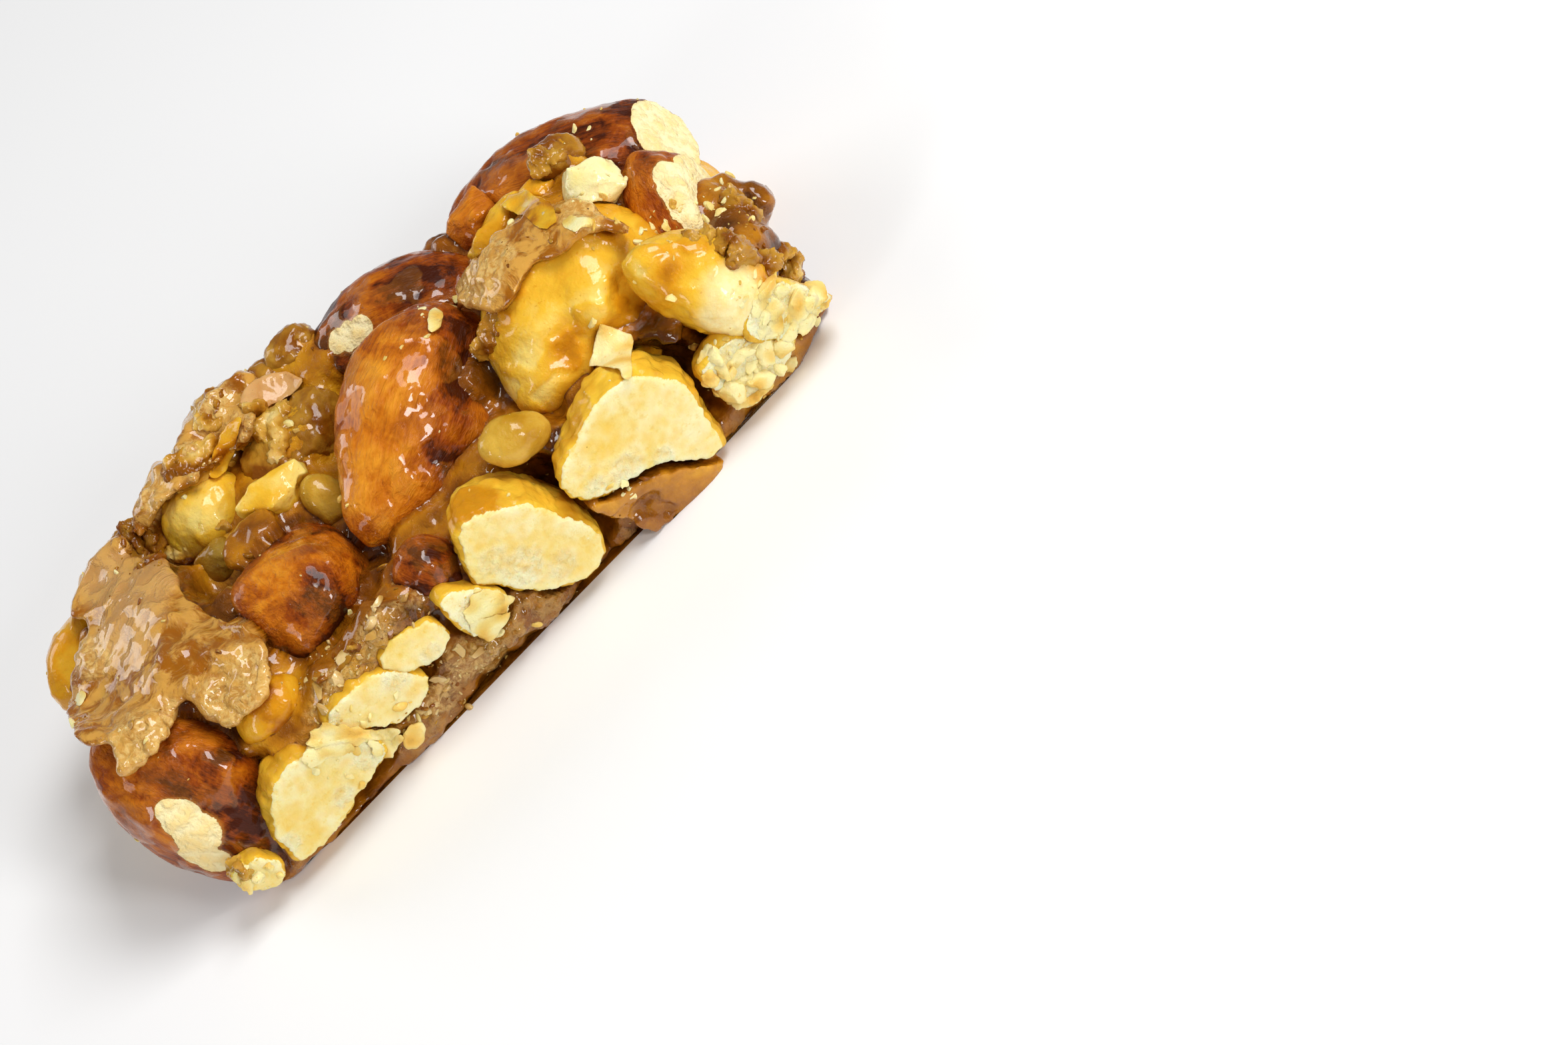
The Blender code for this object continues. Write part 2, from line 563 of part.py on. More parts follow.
def toppings():
    """Flakes, crumbs and crisp lumps large enough to show from a step away."""
    return [
        topping("lump", (5, 4.6, 4.6), at=(38.0, -6.4, 8.8), seed=61),
        topping("lump", (4, 4.4, 4), at=(35.4, -11.8, 9.6), seed=62),
        topping("lump", (3.6, 3.8, 3.6), at=(37.8, -12.6, 7.0), seed=63),
        topping("lump", (4.2, 3.8, 3.6), at=(38.6, -13.6, 5.4), seed=64),
        topping("crumb", (3.8, 3.6, 4), at=(36.8, -4.4, 10.4), seed=65),
        topping("lump", (4, 3.8, 3.8), at=(-39.0, -14.6, 5.6), seed=66),
        topping("lump", (4.4, 4.2, 3.6), at=(13.2, -4.8, 16.8), seed=67),
        topping("flake", (6.5, 4.2, 1.6), at=(-26.5, 11.8, 17.6), facing=(0.2, -0.3, 1), seed=68),
        topping("flake", (5.6, 3.6, 1.4), at=(-19.4, 15.6, 17.4), facing=(0, 0.3, 1), seed=69),
        topping("crumb", (3.4, 3.2, 3), at=(-37.4, 6.4, 15.2), seed=70),
        topping("crumb", (3.2, 2.8, 3), at=(-34.0, 9.2, 16.4), seed=71),
        topping("lump", (3.6, 3.4, 3.2), at=(15.4, 12.6, 16.2), seed=72),
        topping("lump", (3.8, 3.4, 3.4), at=(-9.6, -12.2, 12.8), seed=73),
        topping("crumb", (3.6, 3, 3), at=(36.8, 8.8, 9.6), seed=74),
        topping("lump", (4, 3.6, 3.4), at=(-12.0, 17.4, 9.4), seed=75),
        topping("lump", (3.8, 3.6, 3.6), at=(14.6, 17.0, 8.6), seed=76),
    ]


def combine(block, pieces, operation):
    """One Boolean with a collection of pieces, applied, with the pieces then removed."""
    group = bpy.data.collections.new("pieces")
    bpy.context.scene.collection.children.link(group)
    for piece in pieces:
        group.objects.link(piece)
        bpy.context.scene.collection.objects.unlink(piece)
    step = block.modifiers.new("combine", "BOOLEAN")
    step.operation = operation
    step.operand_type = "COLLECTION"
    step.collection = group
    step.solver = "MANIFOLD"
    apply_modifiers(block)
    remove_all(pieces)
    bpy.data.collections.remove(group)


def touching_places(thing):
    """Where two walls of a solid meet along an edge or at a point."""
    bm = welded(thing.data, POCKET_WELD)
    places = [(edge.verts[0].co + edge.verts[1].co) / 2 for edge in bm.edges
              if not edge.is_manifold]
    places += [vert.co.copy() for vert in bm.verts if vert.link_faces and not vert.is_manifold]
    bm.free()
    return places


def pocket(place):
    """A small ball that opens a gap between walls that touch."""
    bm = bmesh.new()
    bmesh.ops.create_icosphere(bm, subdivisions=1, radius=POCKET_RADIUS * MM)
    return add_object("pocket", bm, Matrix.Translation(place), "caramel")


def cut_sockets(block, nuts):
    """Every nut sits in its own socket, with the fit gap all round."""
    sockets = [socket_for(thing) for thing in nuts]
    combine(block, sockets + hollows(), "DIFFERENCE")
    for attempt in range(POCKET_ROUNDS):
        places = touching_places(block)
        if not places:
            break
        combine(block, [pocket(place) for place in places], "DIFFERENCE")
    clean(block)


def centre_on_origin(things):
    """Stand the bar on Z = 0 with the middle of its box over the origin."""
    boxes = [world_box(thing) for thing in things]
    low = [min(box[0][axis] for box in boxes) for axis in range(3)]
    high = [max(box[1][axis] for box in boxes) for axis in range(3)]
    shift = Vector((-(low[0] + high[0]) / 2, -(low[1] + high[1]) / 2, -low[2]))
    for thing in things:
        thing.matrix_world = Matrix.Translation(shift) @ thing.matrix_world


def build_bar():
    clear_scene()
    nuts = whole_almonds() + cut_nuts() + golden_nuts() + back_nuts()
    bpy.context.view_layer.update()
    block = caramel_block(nuts)
    soften(block)
    combine(block, toppings(), "UNION")
    cut_sockets(block, nuts)
    part_neighbours(nuts)
    centre_on_origin([block] + nuts)


build_bar()
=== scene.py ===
import math
import random

import bmesh
import bpy
import numpy as np
from mathutils import Matrix, Vector, noise
from mathutils.bvhtree import BVHTree


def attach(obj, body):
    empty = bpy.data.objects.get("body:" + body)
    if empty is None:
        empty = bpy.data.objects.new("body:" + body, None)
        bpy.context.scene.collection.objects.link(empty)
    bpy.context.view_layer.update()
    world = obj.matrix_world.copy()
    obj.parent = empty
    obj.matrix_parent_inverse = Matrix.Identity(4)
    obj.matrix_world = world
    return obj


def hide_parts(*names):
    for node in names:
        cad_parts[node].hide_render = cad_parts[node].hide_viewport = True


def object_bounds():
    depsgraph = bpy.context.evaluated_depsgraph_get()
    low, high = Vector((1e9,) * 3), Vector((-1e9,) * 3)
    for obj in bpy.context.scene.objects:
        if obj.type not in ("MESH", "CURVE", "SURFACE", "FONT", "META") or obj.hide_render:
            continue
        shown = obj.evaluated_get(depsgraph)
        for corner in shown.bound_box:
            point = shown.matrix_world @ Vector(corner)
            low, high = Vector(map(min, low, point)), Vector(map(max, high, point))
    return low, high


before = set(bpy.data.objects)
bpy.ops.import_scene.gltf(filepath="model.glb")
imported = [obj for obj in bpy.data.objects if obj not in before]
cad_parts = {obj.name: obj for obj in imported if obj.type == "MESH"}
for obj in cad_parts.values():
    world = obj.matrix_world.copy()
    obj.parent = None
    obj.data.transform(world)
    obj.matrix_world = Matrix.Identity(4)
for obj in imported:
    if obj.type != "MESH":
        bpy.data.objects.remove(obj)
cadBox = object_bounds()

# Places are in millimetres in the bar's own layout: X along it, -Y to the cut front, Z up.
mm = 0.001
barShift = Vector((1.676, -0.258, 0.0))   # brings the middle of the bar's box over the origin


def inBar(point):
    return (Vector(point) + barShift) * mm


def deselect():
    bpy.ops.object.select_all(action="DESELECT")


def pick(*pieces):
    deselect()
    for piece in pieces:
        piece.select_set(True)
    bpy.context.view_layer.objects.active = pieces[0]


def finish(piece, kind, **settings):   # adds a modifier and applies it
    pick(piece)
    modifier = piece.modifiers.new(kind.lower(), kind)
    for name, value in settings.items():
        setattr(modifier, name, value)
    bpy.ops.object.modifier_apply(modifier=modifier.name)


def remade(piece, size, rounds=2):   # an even mesh of this size in mm, then smoothed
    finish(piece, "REMESH", mode="VOXEL", voxel_size=size * mm)
    finish(piece, "SMOOTH", iterations=rounds, factor=0.5)


def dent(piece, texture, strength, group="", level=0.5):   # strength in mm
    finish(piece, "DISPLACE", texture=texture, strength=strength * mm, mid_level=level,
           vertex_group=group)


def editAll(piece, step, **settings):   # one step of edit mode on the whole piece
    pick(piece)
    bpy.ops.object.mode_set(mode="EDIT")
    bpy.ops.mesh.select_all(action="SELECT")
    step(**settings)
    bpy.ops.object.mode_set(mode="OBJECT")


def faceOut(piece):
    editAll(piece, bpy.ops.mesh.normals_make_consistent, inside=False)


def smoothShade(piece):
    pick(piece)
    bpy.ops.object.shade_smooth()


def added(name, data):
    made = bpy.data.objects.new(name, data)
    bpy.context.scene.collection.objects.link(made)
    return made


def joined(name, pieces):
    pick(*pieces)
    bpy.ops.object.join()
    piece = bpy.context.object
    piece.name = name
    return piece


def freeCopy(source, name):   # a copy with its own mesh that rides on nothing yet
    return added(name, source.data.copy())


def turned(at, along, facing):   # X runs along the piece, Z is the side that faces out
    lengthAxis = Vector(along).normalized()
    outAxis = Vector(facing)
    outAxis = (outAxis - outAxis.project(lengthAxis)).normalized()
    widthAxis = outAxis.cross(lengthAxis)
    turn = Matrix((lengthAxis, widthAxis, outAxis)).transposed().to_4x4()
    return Matrix.Translation(inBar(at)) @ turn


def settle(piece, matrix):   # puts the piece's place into its mesh
    piece.data.transform(matrix)
    piece.data.update()


def cutAway(piece, point, normal):   # knife cut, closed flat
    editAll(piece, bpy.ops.mesh.bisect, plane_co=inBar(point),
            plane_no=Vector(normal).normalized(), use_fill=True, clear_outer=True)


def points(piece):
    flat = np.empty(len(piece.data.vertices) * 3, np.float32)
    piece.data.vertices.foreach_get("co", flat)
    return flat.reshape(-1, 3)


def movePoints(piece, places):
    piece.data.vertices.foreach_set("co", np.array(places, np.float32).ravel())
    piece.data.update()


def keep(piece, name, values):   # one number at each vertex, for the materials
    layer = piece.data.attributes.get(name) or piece.data.attributes.new(name, "FLOAT", "POINT")
    layer.data.foreach_set("value", np.asarray(values, np.float32))


def keepPlace(piece, name, places):
    layer = piece.data.attributes.new(name, "FLOAT_VECTOR", "POINT")
    layer.data.foreach_set("vector", np.asarray(places, np.float32).ravel())


def weigh(piece, name, weights):   # a vertex group, for the modifiers
    group = piece.vertex_groups.new(name=name)
    for index, weight in enumerate(weights):
        if weight > 0:
            group.add([index], float(weight), "REPLACE")


def relief(name, kind, size, **settings):   # a texture that dents a mesh, size in mm
    made = bpy.data.textures.new(name, kind)
    made.noise_scale = size * mm
    for key, value in settings.items():
        setattr(made, key, value)
    return made


# The camera comes first, because small details are placed along its sight lines.

photo = (2353, 1568)   # pixels
camera = {"lens": 100, "sensor": 36, "distance": 0.408, "aim": (0, 0, 0.0085), "elevation": 38.0,
          "roll": 45.73, "pixel": (637.5, 720.3)}
focal = camera["lens"] / camera["sensor"] * photo[0]   # in pixels


def throughPixel(across, down):   # in the camera's own axes
    return Vector(((across - photo[0] / 2) / focal, -(down - photo[1] / 2) / focal, -1))


def cameraPlace():   # the aimed point shows at its pixel of the photograph, +X at the roll
    elevation, roll = math.radians(camera["elevation"]), math.radians(camera["roll"])
    away = Vector((0, -math.cos(elevation), math.sin(elevation)))
    eye = Vector(camera["aim"]) + camera["distance"] * away
    sight = throughPixel(*camera["pixel"]).normalized()
    level = Vector((math.cos(roll), math.sin(roll), 0))
    level = (level - sight * level.dot(sight)).normalized()
    inCamera = Matrix((sight, level, sight.cross(level))).transposed()
    side = Vector((1, 0, 0))
    inFrame = Matrix((-away, side, (-away).cross(side))).transposed()
    return Matrix.Translation(eye) @ (inFrame @ inCamera.inverted()).to_4x4()


eyePlace = cameraPlace()


def sightLine(across, down):   # from the camera through a pixel of the photograph
    return eyePlace.translation, (eyePlace.to_3x3() @ throughPixel(across, down)).normalized()


def pixelOf(place):   # where a place shows in the photograph
    seen = eyePlace.inverted() @ Vector(place)
    return Vector((photo[0] / 2 - focal * seen.x / seen.z, photo[1] / 2 + focal * seen.y / seen.z))


def curveThrough(outline, steps=6):   # a rounded closed line through the outline's pixels
    corners = [Vector(corner) for corner in outline]
    line = []
    for index in range(len(corners)):
        before, start, end, after = (corners[(index + step) % len(corners)]
                                     for step in (-1, 0, 1, 2))
        for step in range(steps):
            t = step / steps
            line.append(0.5 * (2 * start + (end - before) * t
                               + (2 * before - 5 * start + 4 * end - after) * t ** 2
                               + (3 * start - before - 3 * end + after) * t ** 3))
    return line


def shapeOnPlane(name, outline, at, facing, ragged, seed):   # a flat face, left in edit mode
    outward = Vector(facing).normalized()
    line = curveThrough(outline)
    deselect()
    bpy.ops.mesh.primitive_circle_add(vertices=len(line), radius=1)
    piece = bpy.context.object
    piece.name = name
    for vert, pixel in zip(piece.data.vertices, line):
        eye, ray = sightLine(*pixel)
        place = eye + ray * ((at - eye).dot(outward) / ray.dot(outward))
        rough = noise.noise(place / (0.7 * mm) + Vector((seed, 0, 0)))
        vert.co = place + (place - at).normalized() * ragged * mm * rough
    bpy.ops.object.mode_set(mode="EDIT")
    bpy.ops.mesh.select_all(action="SELECT")
    bpy.ops.mesh.edge_face_add()
    return piece, outward


def plate(name, outline, at, facing, thick, ragged, seed):   # at is in metres
    piece, outward = shapeOnPlane(name, outline, at, facing, ragged, seed)
    bpy.ops.transform.translate(value=outward * thick * mm / 2)
    bpy.ops.mesh.extrude_region_move(TRANSFORM_OT_translate={"value": -outward * thick * mm})
    bpy.ops.object.mode_set(mode="OBJECT")
    faceOut(piece)
    return piece


def hitOn(trees, across, down):   # the first thing a sight line meets
    eye, ray = sightLine(across, down)
    best = None   # place, normal, distance, tree, face
    for tree in trees:
        spot, normal, index, distance = tree.ray_cast(eye, ray)
        if distance is not None and (best is None or distance < best[2]):
            best = (spot, normal, distance, tree, index)
    return best


def around(field):   # each cell with its eight neighbours
    padded = np.pad(field, 1, mode="edge")
    rows, columns = field.shape
    return np.stack([padded[1 + dy:1 + dy + rows, 1 + dx:1 + dx + columns]
                     for dy in (-1, 0, 1) for dx in (-1, 0, 1)])


def drape(piece, trees, cover, reach, step=8):   # lays a plate over what shows behind it
    eye = eyePlace.translation
    away = np.array([(vert.co - eye).length for vert in piece.data.vertices])
    pixels = np.array([pixelOf(vert.co) for vert in piece.data.vertices])
    low = pixels.min(axis=0) - 2 * step
    columns, rows = ((pixels.max(axis=0) - low) / step).astype(int) + 4
    nothing = 9.0   # metres, where a sight line meets nothing
    far = np.full((rows, columns), nothing)
    for row in range(rows):
        for column in range(columns):
            hit = hitOn(trees, low[0] + step * column, low[1] + step * row)
            if hit:
                far[row, column] = hit[2]
    while (far == nothing).any() and (far < nothing).any():
        far = np.where(far == nothing, around(far).min(axis=0), far)
    for turn in range(reach):
        far = around(far).min(axis=0)
    for turn in range(2 * reach + 1):
        far = around(far).mean(axis=0)
    spots = (pixels - low) / step
    x, y = np.floor(spots).astype(int).T
    across, down = (spots - np.floor(spots)).T
    lying = (far[y, x] * (1 - across) * (1 - down) + far[y, x + 1] * across * (1 - down)
             + far[y + 1, x] * (1 - across) * down + far[y + 1, x + 1] * across * down)
    middle = np.median(away)
    for vert, own, under in zip(piece.data.vertices, away, lying):
        ray = (vert.co - eye).normalized()
        vert.co = eye + ray * float(under - cover * mm + own - middle)


def laidPlate(name, trees, outline, thick, wave, ragged, seed, cover=0.0, reach=0, voxel=0.25,
              on=None):   # a flake that follows what it lies on, or stays on a plane
    middle = sum((Vector(pixel) for pixel in outline), Vector((0, 0))) / len(outline)
    eye, ray = sightLine(*middle)
    hit = hitOn(trees, *middle)
    at = eye + ray * (hit[2] if hit else camera["distance"])
    if on:
        at, ray = inBar(on[0]), -Vector(on[1]).normalized()
    piece = plate(name, outline, at, -ray, thick, ragged, seed)
    remade(piece, voxel)
    for vert in piece.data.vertices:
        lift = wave * noise.noise(vert.co / (3.5 * mm) + Vector((seed, 0, 0)))
        lift += 0.3 * wave * noise.noise(vert.co / (1.2 * mm) + Vector((seed, 0, 0)))
        vert.co = vert.co - ray * lift * mm
    if not on:
        drape(piece, trees, cover, reach)
    return piece


# Nuts

knifeSide = 19.0   # mm from the middle line to the cut front and to the cut back
tableCut = ((0, 0, 0.5), (0, 0, -1))   # nuts end half a millimetre over the table


def frontCut(x, z, tiltX=0.0, tiltZ=0.0, depth=0.0):   # the knife's plane on the front
    return ((x, depth - knifeSide, z), (tiltX, -1, tiltZ))


def backCut(x, z, tiltX=0.0):
    return ((x, knifeSide, z), (tiltX, 1, 0))


almonds = {   # sizes in mm; pushes, bare spots, stains and painted light by photograph pixels
    "almond_middle": dict(size=(24.5, 15.4, 10), at=(1.2, -1.6, 15.0), along=(-20.5, -10.8, -3),
        facing=(0, -0.75, 0.66), point=1.0, seed=1, voxel=0.22, shade=-0.1,
        pushes=[((590, 560), 6.0, (0, 0, 0.8)), ((540, 770), 5.0, (-0.6, -0.4, 0.3)),
        ((740, 560), 6.0, (-1.8, -0.3, -0.6)), ((700, 690), 5.0, (-0.8, 0, 0))],
        # mostly painted light here: brighter spots on the left, painted shade on the right side
        stainsAndPaintedLight=[((574, 541), 5.5, -0.12), ((548, 714), 4.0, -0.14), ((705, 572), 5.5, 0.4),
        ((692, 693), 4.5, 0.34), ((689, 478), 3.5, 0.3), ((527, 802), 2.8, 0.28)]),
    "almond_far_right": dict(size=(26, 14, 10), at=(28.6, 10.6, 12.8), along=(-19, 12, 4),
        facing=(0.2, -0.2, 1), point=0.8, seed=2, cuts=[((37.6, 4.6, 10.8), (0.8, -0.45, 0.4))],
        shade=0.2, pushes=[((760, 270), 5.0, (0, 0.4, 0.7)), ((900, 230), 4.0, (0.2, 0.5, 0.5))]),
    "almond_left_end": dict(size=(22, 14, 11), at=(-36.4, -9.6, 9.6), along=(-6, 7, 16),
        facing=(-0.2, -0.9, 0.4), point=0.6, seed=3,
        cuts=[((-39.4, -15.6, 6), (-0.5, -0.82, -0.25))], shade=0.1,
        pushes=[((330, 1140), 5.0, (0.3, 0.4, 0.8)), ((240, 1240), 4.0, (-0.3, -0.2, 0.4))],
        bare=[((300, 1262), 3.4), ((272, 1236), 2.8), ((318, 1300), 2.6), ((255, 1225), 1.8),
        # the -0.3 spot at (350, 1182) is a painted highlight on the glaze
        ((290, 1290), 2.4)], stainsAndPaintedLight=[((308, 1136), 6.5, 0.16), ((350, 1182), 2.6, -0.3),
        ((385, 1170), 5.0, 0.2), ((200, 1190), 4.0, -0.16), ((365, 1250), 3.4, 0.25)]),
    "almond_end_on": dict(size=(20, 13.6, 12.4), at=(-16.6, -2.6, 10.8), along=(0.15, -0.85, 0.5),
        facing=(-0.2, 0.4, 0.9), point=0.7, seed=4, shade=0.1,
        pushes=[((470, 850), 6.5, (0.3, 0.6, 1.2)), ((395, 880), 6.0, (-2.6, -0.6, 1.2)),
        ((470, 960), 6.0, (-0.4, -2.2, 1.4))], stainsAndPaintedLight=[((412, 871), 2.8, -0.22),
        ((392, 942), 2.8, -0.2), ((487, 902), 4.6, 0.52), ((512, 962), 3.4, 0.35),
        ((371, 840), 2.6, 0.15)]),
    "almond_far_middle": dict(size=(20, 12, 9), at=(7.2, 12.0, 14.8), along=(-15, 7, 2),
        facing=(0, -0.3, 1), point=0.8, seed=5, cuts=[((3.4, 8.7, 16.6), (-0.35, -0.75, 0.6))],
        skinOverCut=True, shade=0.2, pushes=[((560, 440), 5.0, (0, 0.3, 0.7)),
        ((500, 500), 3.5, (-0.3, 0, -0.5))], bare=[((500, 511), 1.9), ((517, 501), 2.2),
        ((535, 489), 1.9)], stainsAndPaintedLight=[((600, 430), 4.0, 0.15), ((640, 415), 4.0, 0.2)]),
    "almond_right_half": dict(size=(15, 11, 10), at=(32.4, -3.2, 11.2), along=(0.1, 0.5, 0.85),
        facing=(0.9, -0.4, 0.1), point=0.6, seed=6, cuts=[((35.6, -4, 11), (0.86, -0.5, 0.1))],
        bare=[((998, 256), 2.2), ((1010, 272), 2.5), ((1022, 288), 2.5), ((1034, 304), 2.5),
        ((1046, 320), 2.4), ((1056, 336), 2.0)]),
    "almond_tip_front": dict(size=(7.2, 6.2, 5.6), at=(-7.2, -14.4, 12.2), along=(0.5, -0.5, -0.7),
        facing=(0, -0.7, 0.7), point=0.5, lumps=0.09, seed=7, shade=0.2),
    "back_almond_long": dict(size=(22, 12, 9), at=(-21, 15.0, 6.6), along=(1, 0.05, 0.12),
        facing=(0, 1, 0), point=0.8, seed=51, cuts=[backCut(-21, 6)]),
    "back_almond_short": dict(size=(17, 10, 9), at=(22.6, 14.6, 5.8), along=(1, -0.1, 0.1),
        facing=(0, 1, 0), point=0.7, seed=54, cuts=[backCut(23, 6, 0.05)]),
}
goldenNuts = {
    "nut_big_golden": dict(size=(20.5, 17.4, 13), at=(19.8, -4.4, 13), along=(1, 0.06, 0.05),
        facing=(0, -0.7, 0.7), bend=0.05, seed=11, voxel=0.24, shade=-0.04,
        pushes=[((905, 430), 4.6, (0, 0, 1.2)), ((845, 520), 3.4, (0, 0, -1.0)),
        ((740, 395), 4.5, (-0.4, 0.4, 0.8)), ((800, 500), 4.0, (0, 0, 0.9)),
        ((870, 340), 4.5, (0, 0.4, 0.6)), ((800, 590), 5.0, (-0.3, -1.6, 0.9)),
        ((965, 440), 4.0, (-1.6, 0, 0)), ((935, 520), 3.6, (-1.2, 0.6, -0.6))],
        stainsAndPaintedLight=[((735, 400), 3.6, 0.22), ((860, 415), 3.0, 0.14), ((900, 480), 3.6, -0.24),
        ((800, 560), 5.0, -0.12)]),
    "cashew_right_edge": dict(size=(15, 8.8, 8), at=(28.8, -14.4, 12.4), along=(5, -4.5, -10.5),
        facing=(-0.3, -0.8, 0.4), bend=0.08, seed=12, cuts=[frontCut(32, 7, 0.25, 0, 0.3)],
        shade=-0.04, pushes=[((960, 400), 4.0, (-0.8, 0.5, 0.5)),
        ((1080, 470), 4.5, (0.6, -0.6, 0.6)), ((1020, 380), 3.5, (0.2, 0.5, -0.5))],
        bare=[((1110, 440), 4.6), ((1128, 480), 4.0), ((1090, 490), 4.0)],
        stainsAndPaintedLight=[((985, 425), 2.6, 0.34), ((1010, 400), 2.0, 0.24), ((1060, 430), 4.5, -0.28),
        ((950, 400), 2.4, -0.2)]),
    "nut_far_left": dict(size=(9.2, 8.4, 8), at=(-18.2, 12.0, 14.8), along=(1, -0.3, 0), seed=13,
        shade=-0.2, filmShare=0.6, stainsAndPaintedLight=[((300, 770), 2.6, -0.16)]),
    "nut_far_corner": dict(size=(12, 7.4, 7), at=(-35.0, 12.4, 13.2), along=(1, 0.35, 0.1),
        seed=17, shade=0.04),
    "nut_under_flake": dict(size=(7.6, 5.6, 5.6), at=(-26, -12.8, 12.8), along=(1, 0.1, -0.1),
        seed=19, shade=0.12),
    "nut_between": dict(size=(7, 4.2, 4), at=(-9.1, 1.2, 13.6), along=(-0.1, 0.5, 0.8), seed=20,
        kind="seed", shade=0.1, filmShare=0.4),
    "seed_nut": dict(size=(6.8, 4.6, 4.4), at=(6.8, -13.4, 15.2), along=(6, -1.5, -2.6),
        facing=(0, -0.7, 0.7), seed=21, kind="seed", shade=0.14, filmShare=0.2,
        pushes=[((760, 660), 5.0, (-0.6, -0.6, 0))]),
    "back_nut_small": dict(size=(8.4, 7, 7), at=(10.4, 15.4, 5.8), along=(0.4, 0, 1),
        facing=(0, 1, 0), seed=53, cuts=[backCut(11.6, 6, -0.05)]),
    "back_nut_corner": dict(size=(9, 7.6, 7), at=(-35.0, 11.6, 5.0), along=(0.5, 1, 0.1),
        facing=(-1, 0.3, 0), seed=55),
    "end_nut_right": dict(size=(11, 8, 7), at=(35.0, 4.6, 5.4), along=(0.1, 1, 0.1),
        facing=(1, 0, 0), bend=0.08, seed=57),
}
toffeeNuts = {
    "nut_crusty": dict(size=(12.5, 8, 7.4), at=(-7.6, 10.4, 14.2), along=(1, 0.1, 0.05), lumps=0.1,
        seed=14, shade=0.1),
    "nut_back_long": dict(size=(13, 5.6, 5.4), at=(-13.4, 16.0, 16.4), along=(1, 0.12, 0.06),
        lumps=0.06, seed=15),
    "nut_back_round": dict(size=(9.6, 6.4, 6), at=(-6.4, 16.6, 15.6), along=(1, 0.3, 0.1),
        lumps=0.05, seed=16),
    "nut_back_left": dict(size=(9.6, 6.4, 6.2), at=(-26.6, 15.2, 14.6), along=(1, 0.1, 0),
        lumps=0.05, seed=18),
    "nut_amber": dict(size=(5.8, 4.8, 4.8), at=(-1.8, 17.0, 17.4), lumps=0.08, seed=22, shade=0.1),
    "nut_raisin_like": dict(size=(5.8, 4.8, 4.6), at=(28.2, 6.8, 18.6), lumps=0.12, seed=23,
        shade=0.2),
}
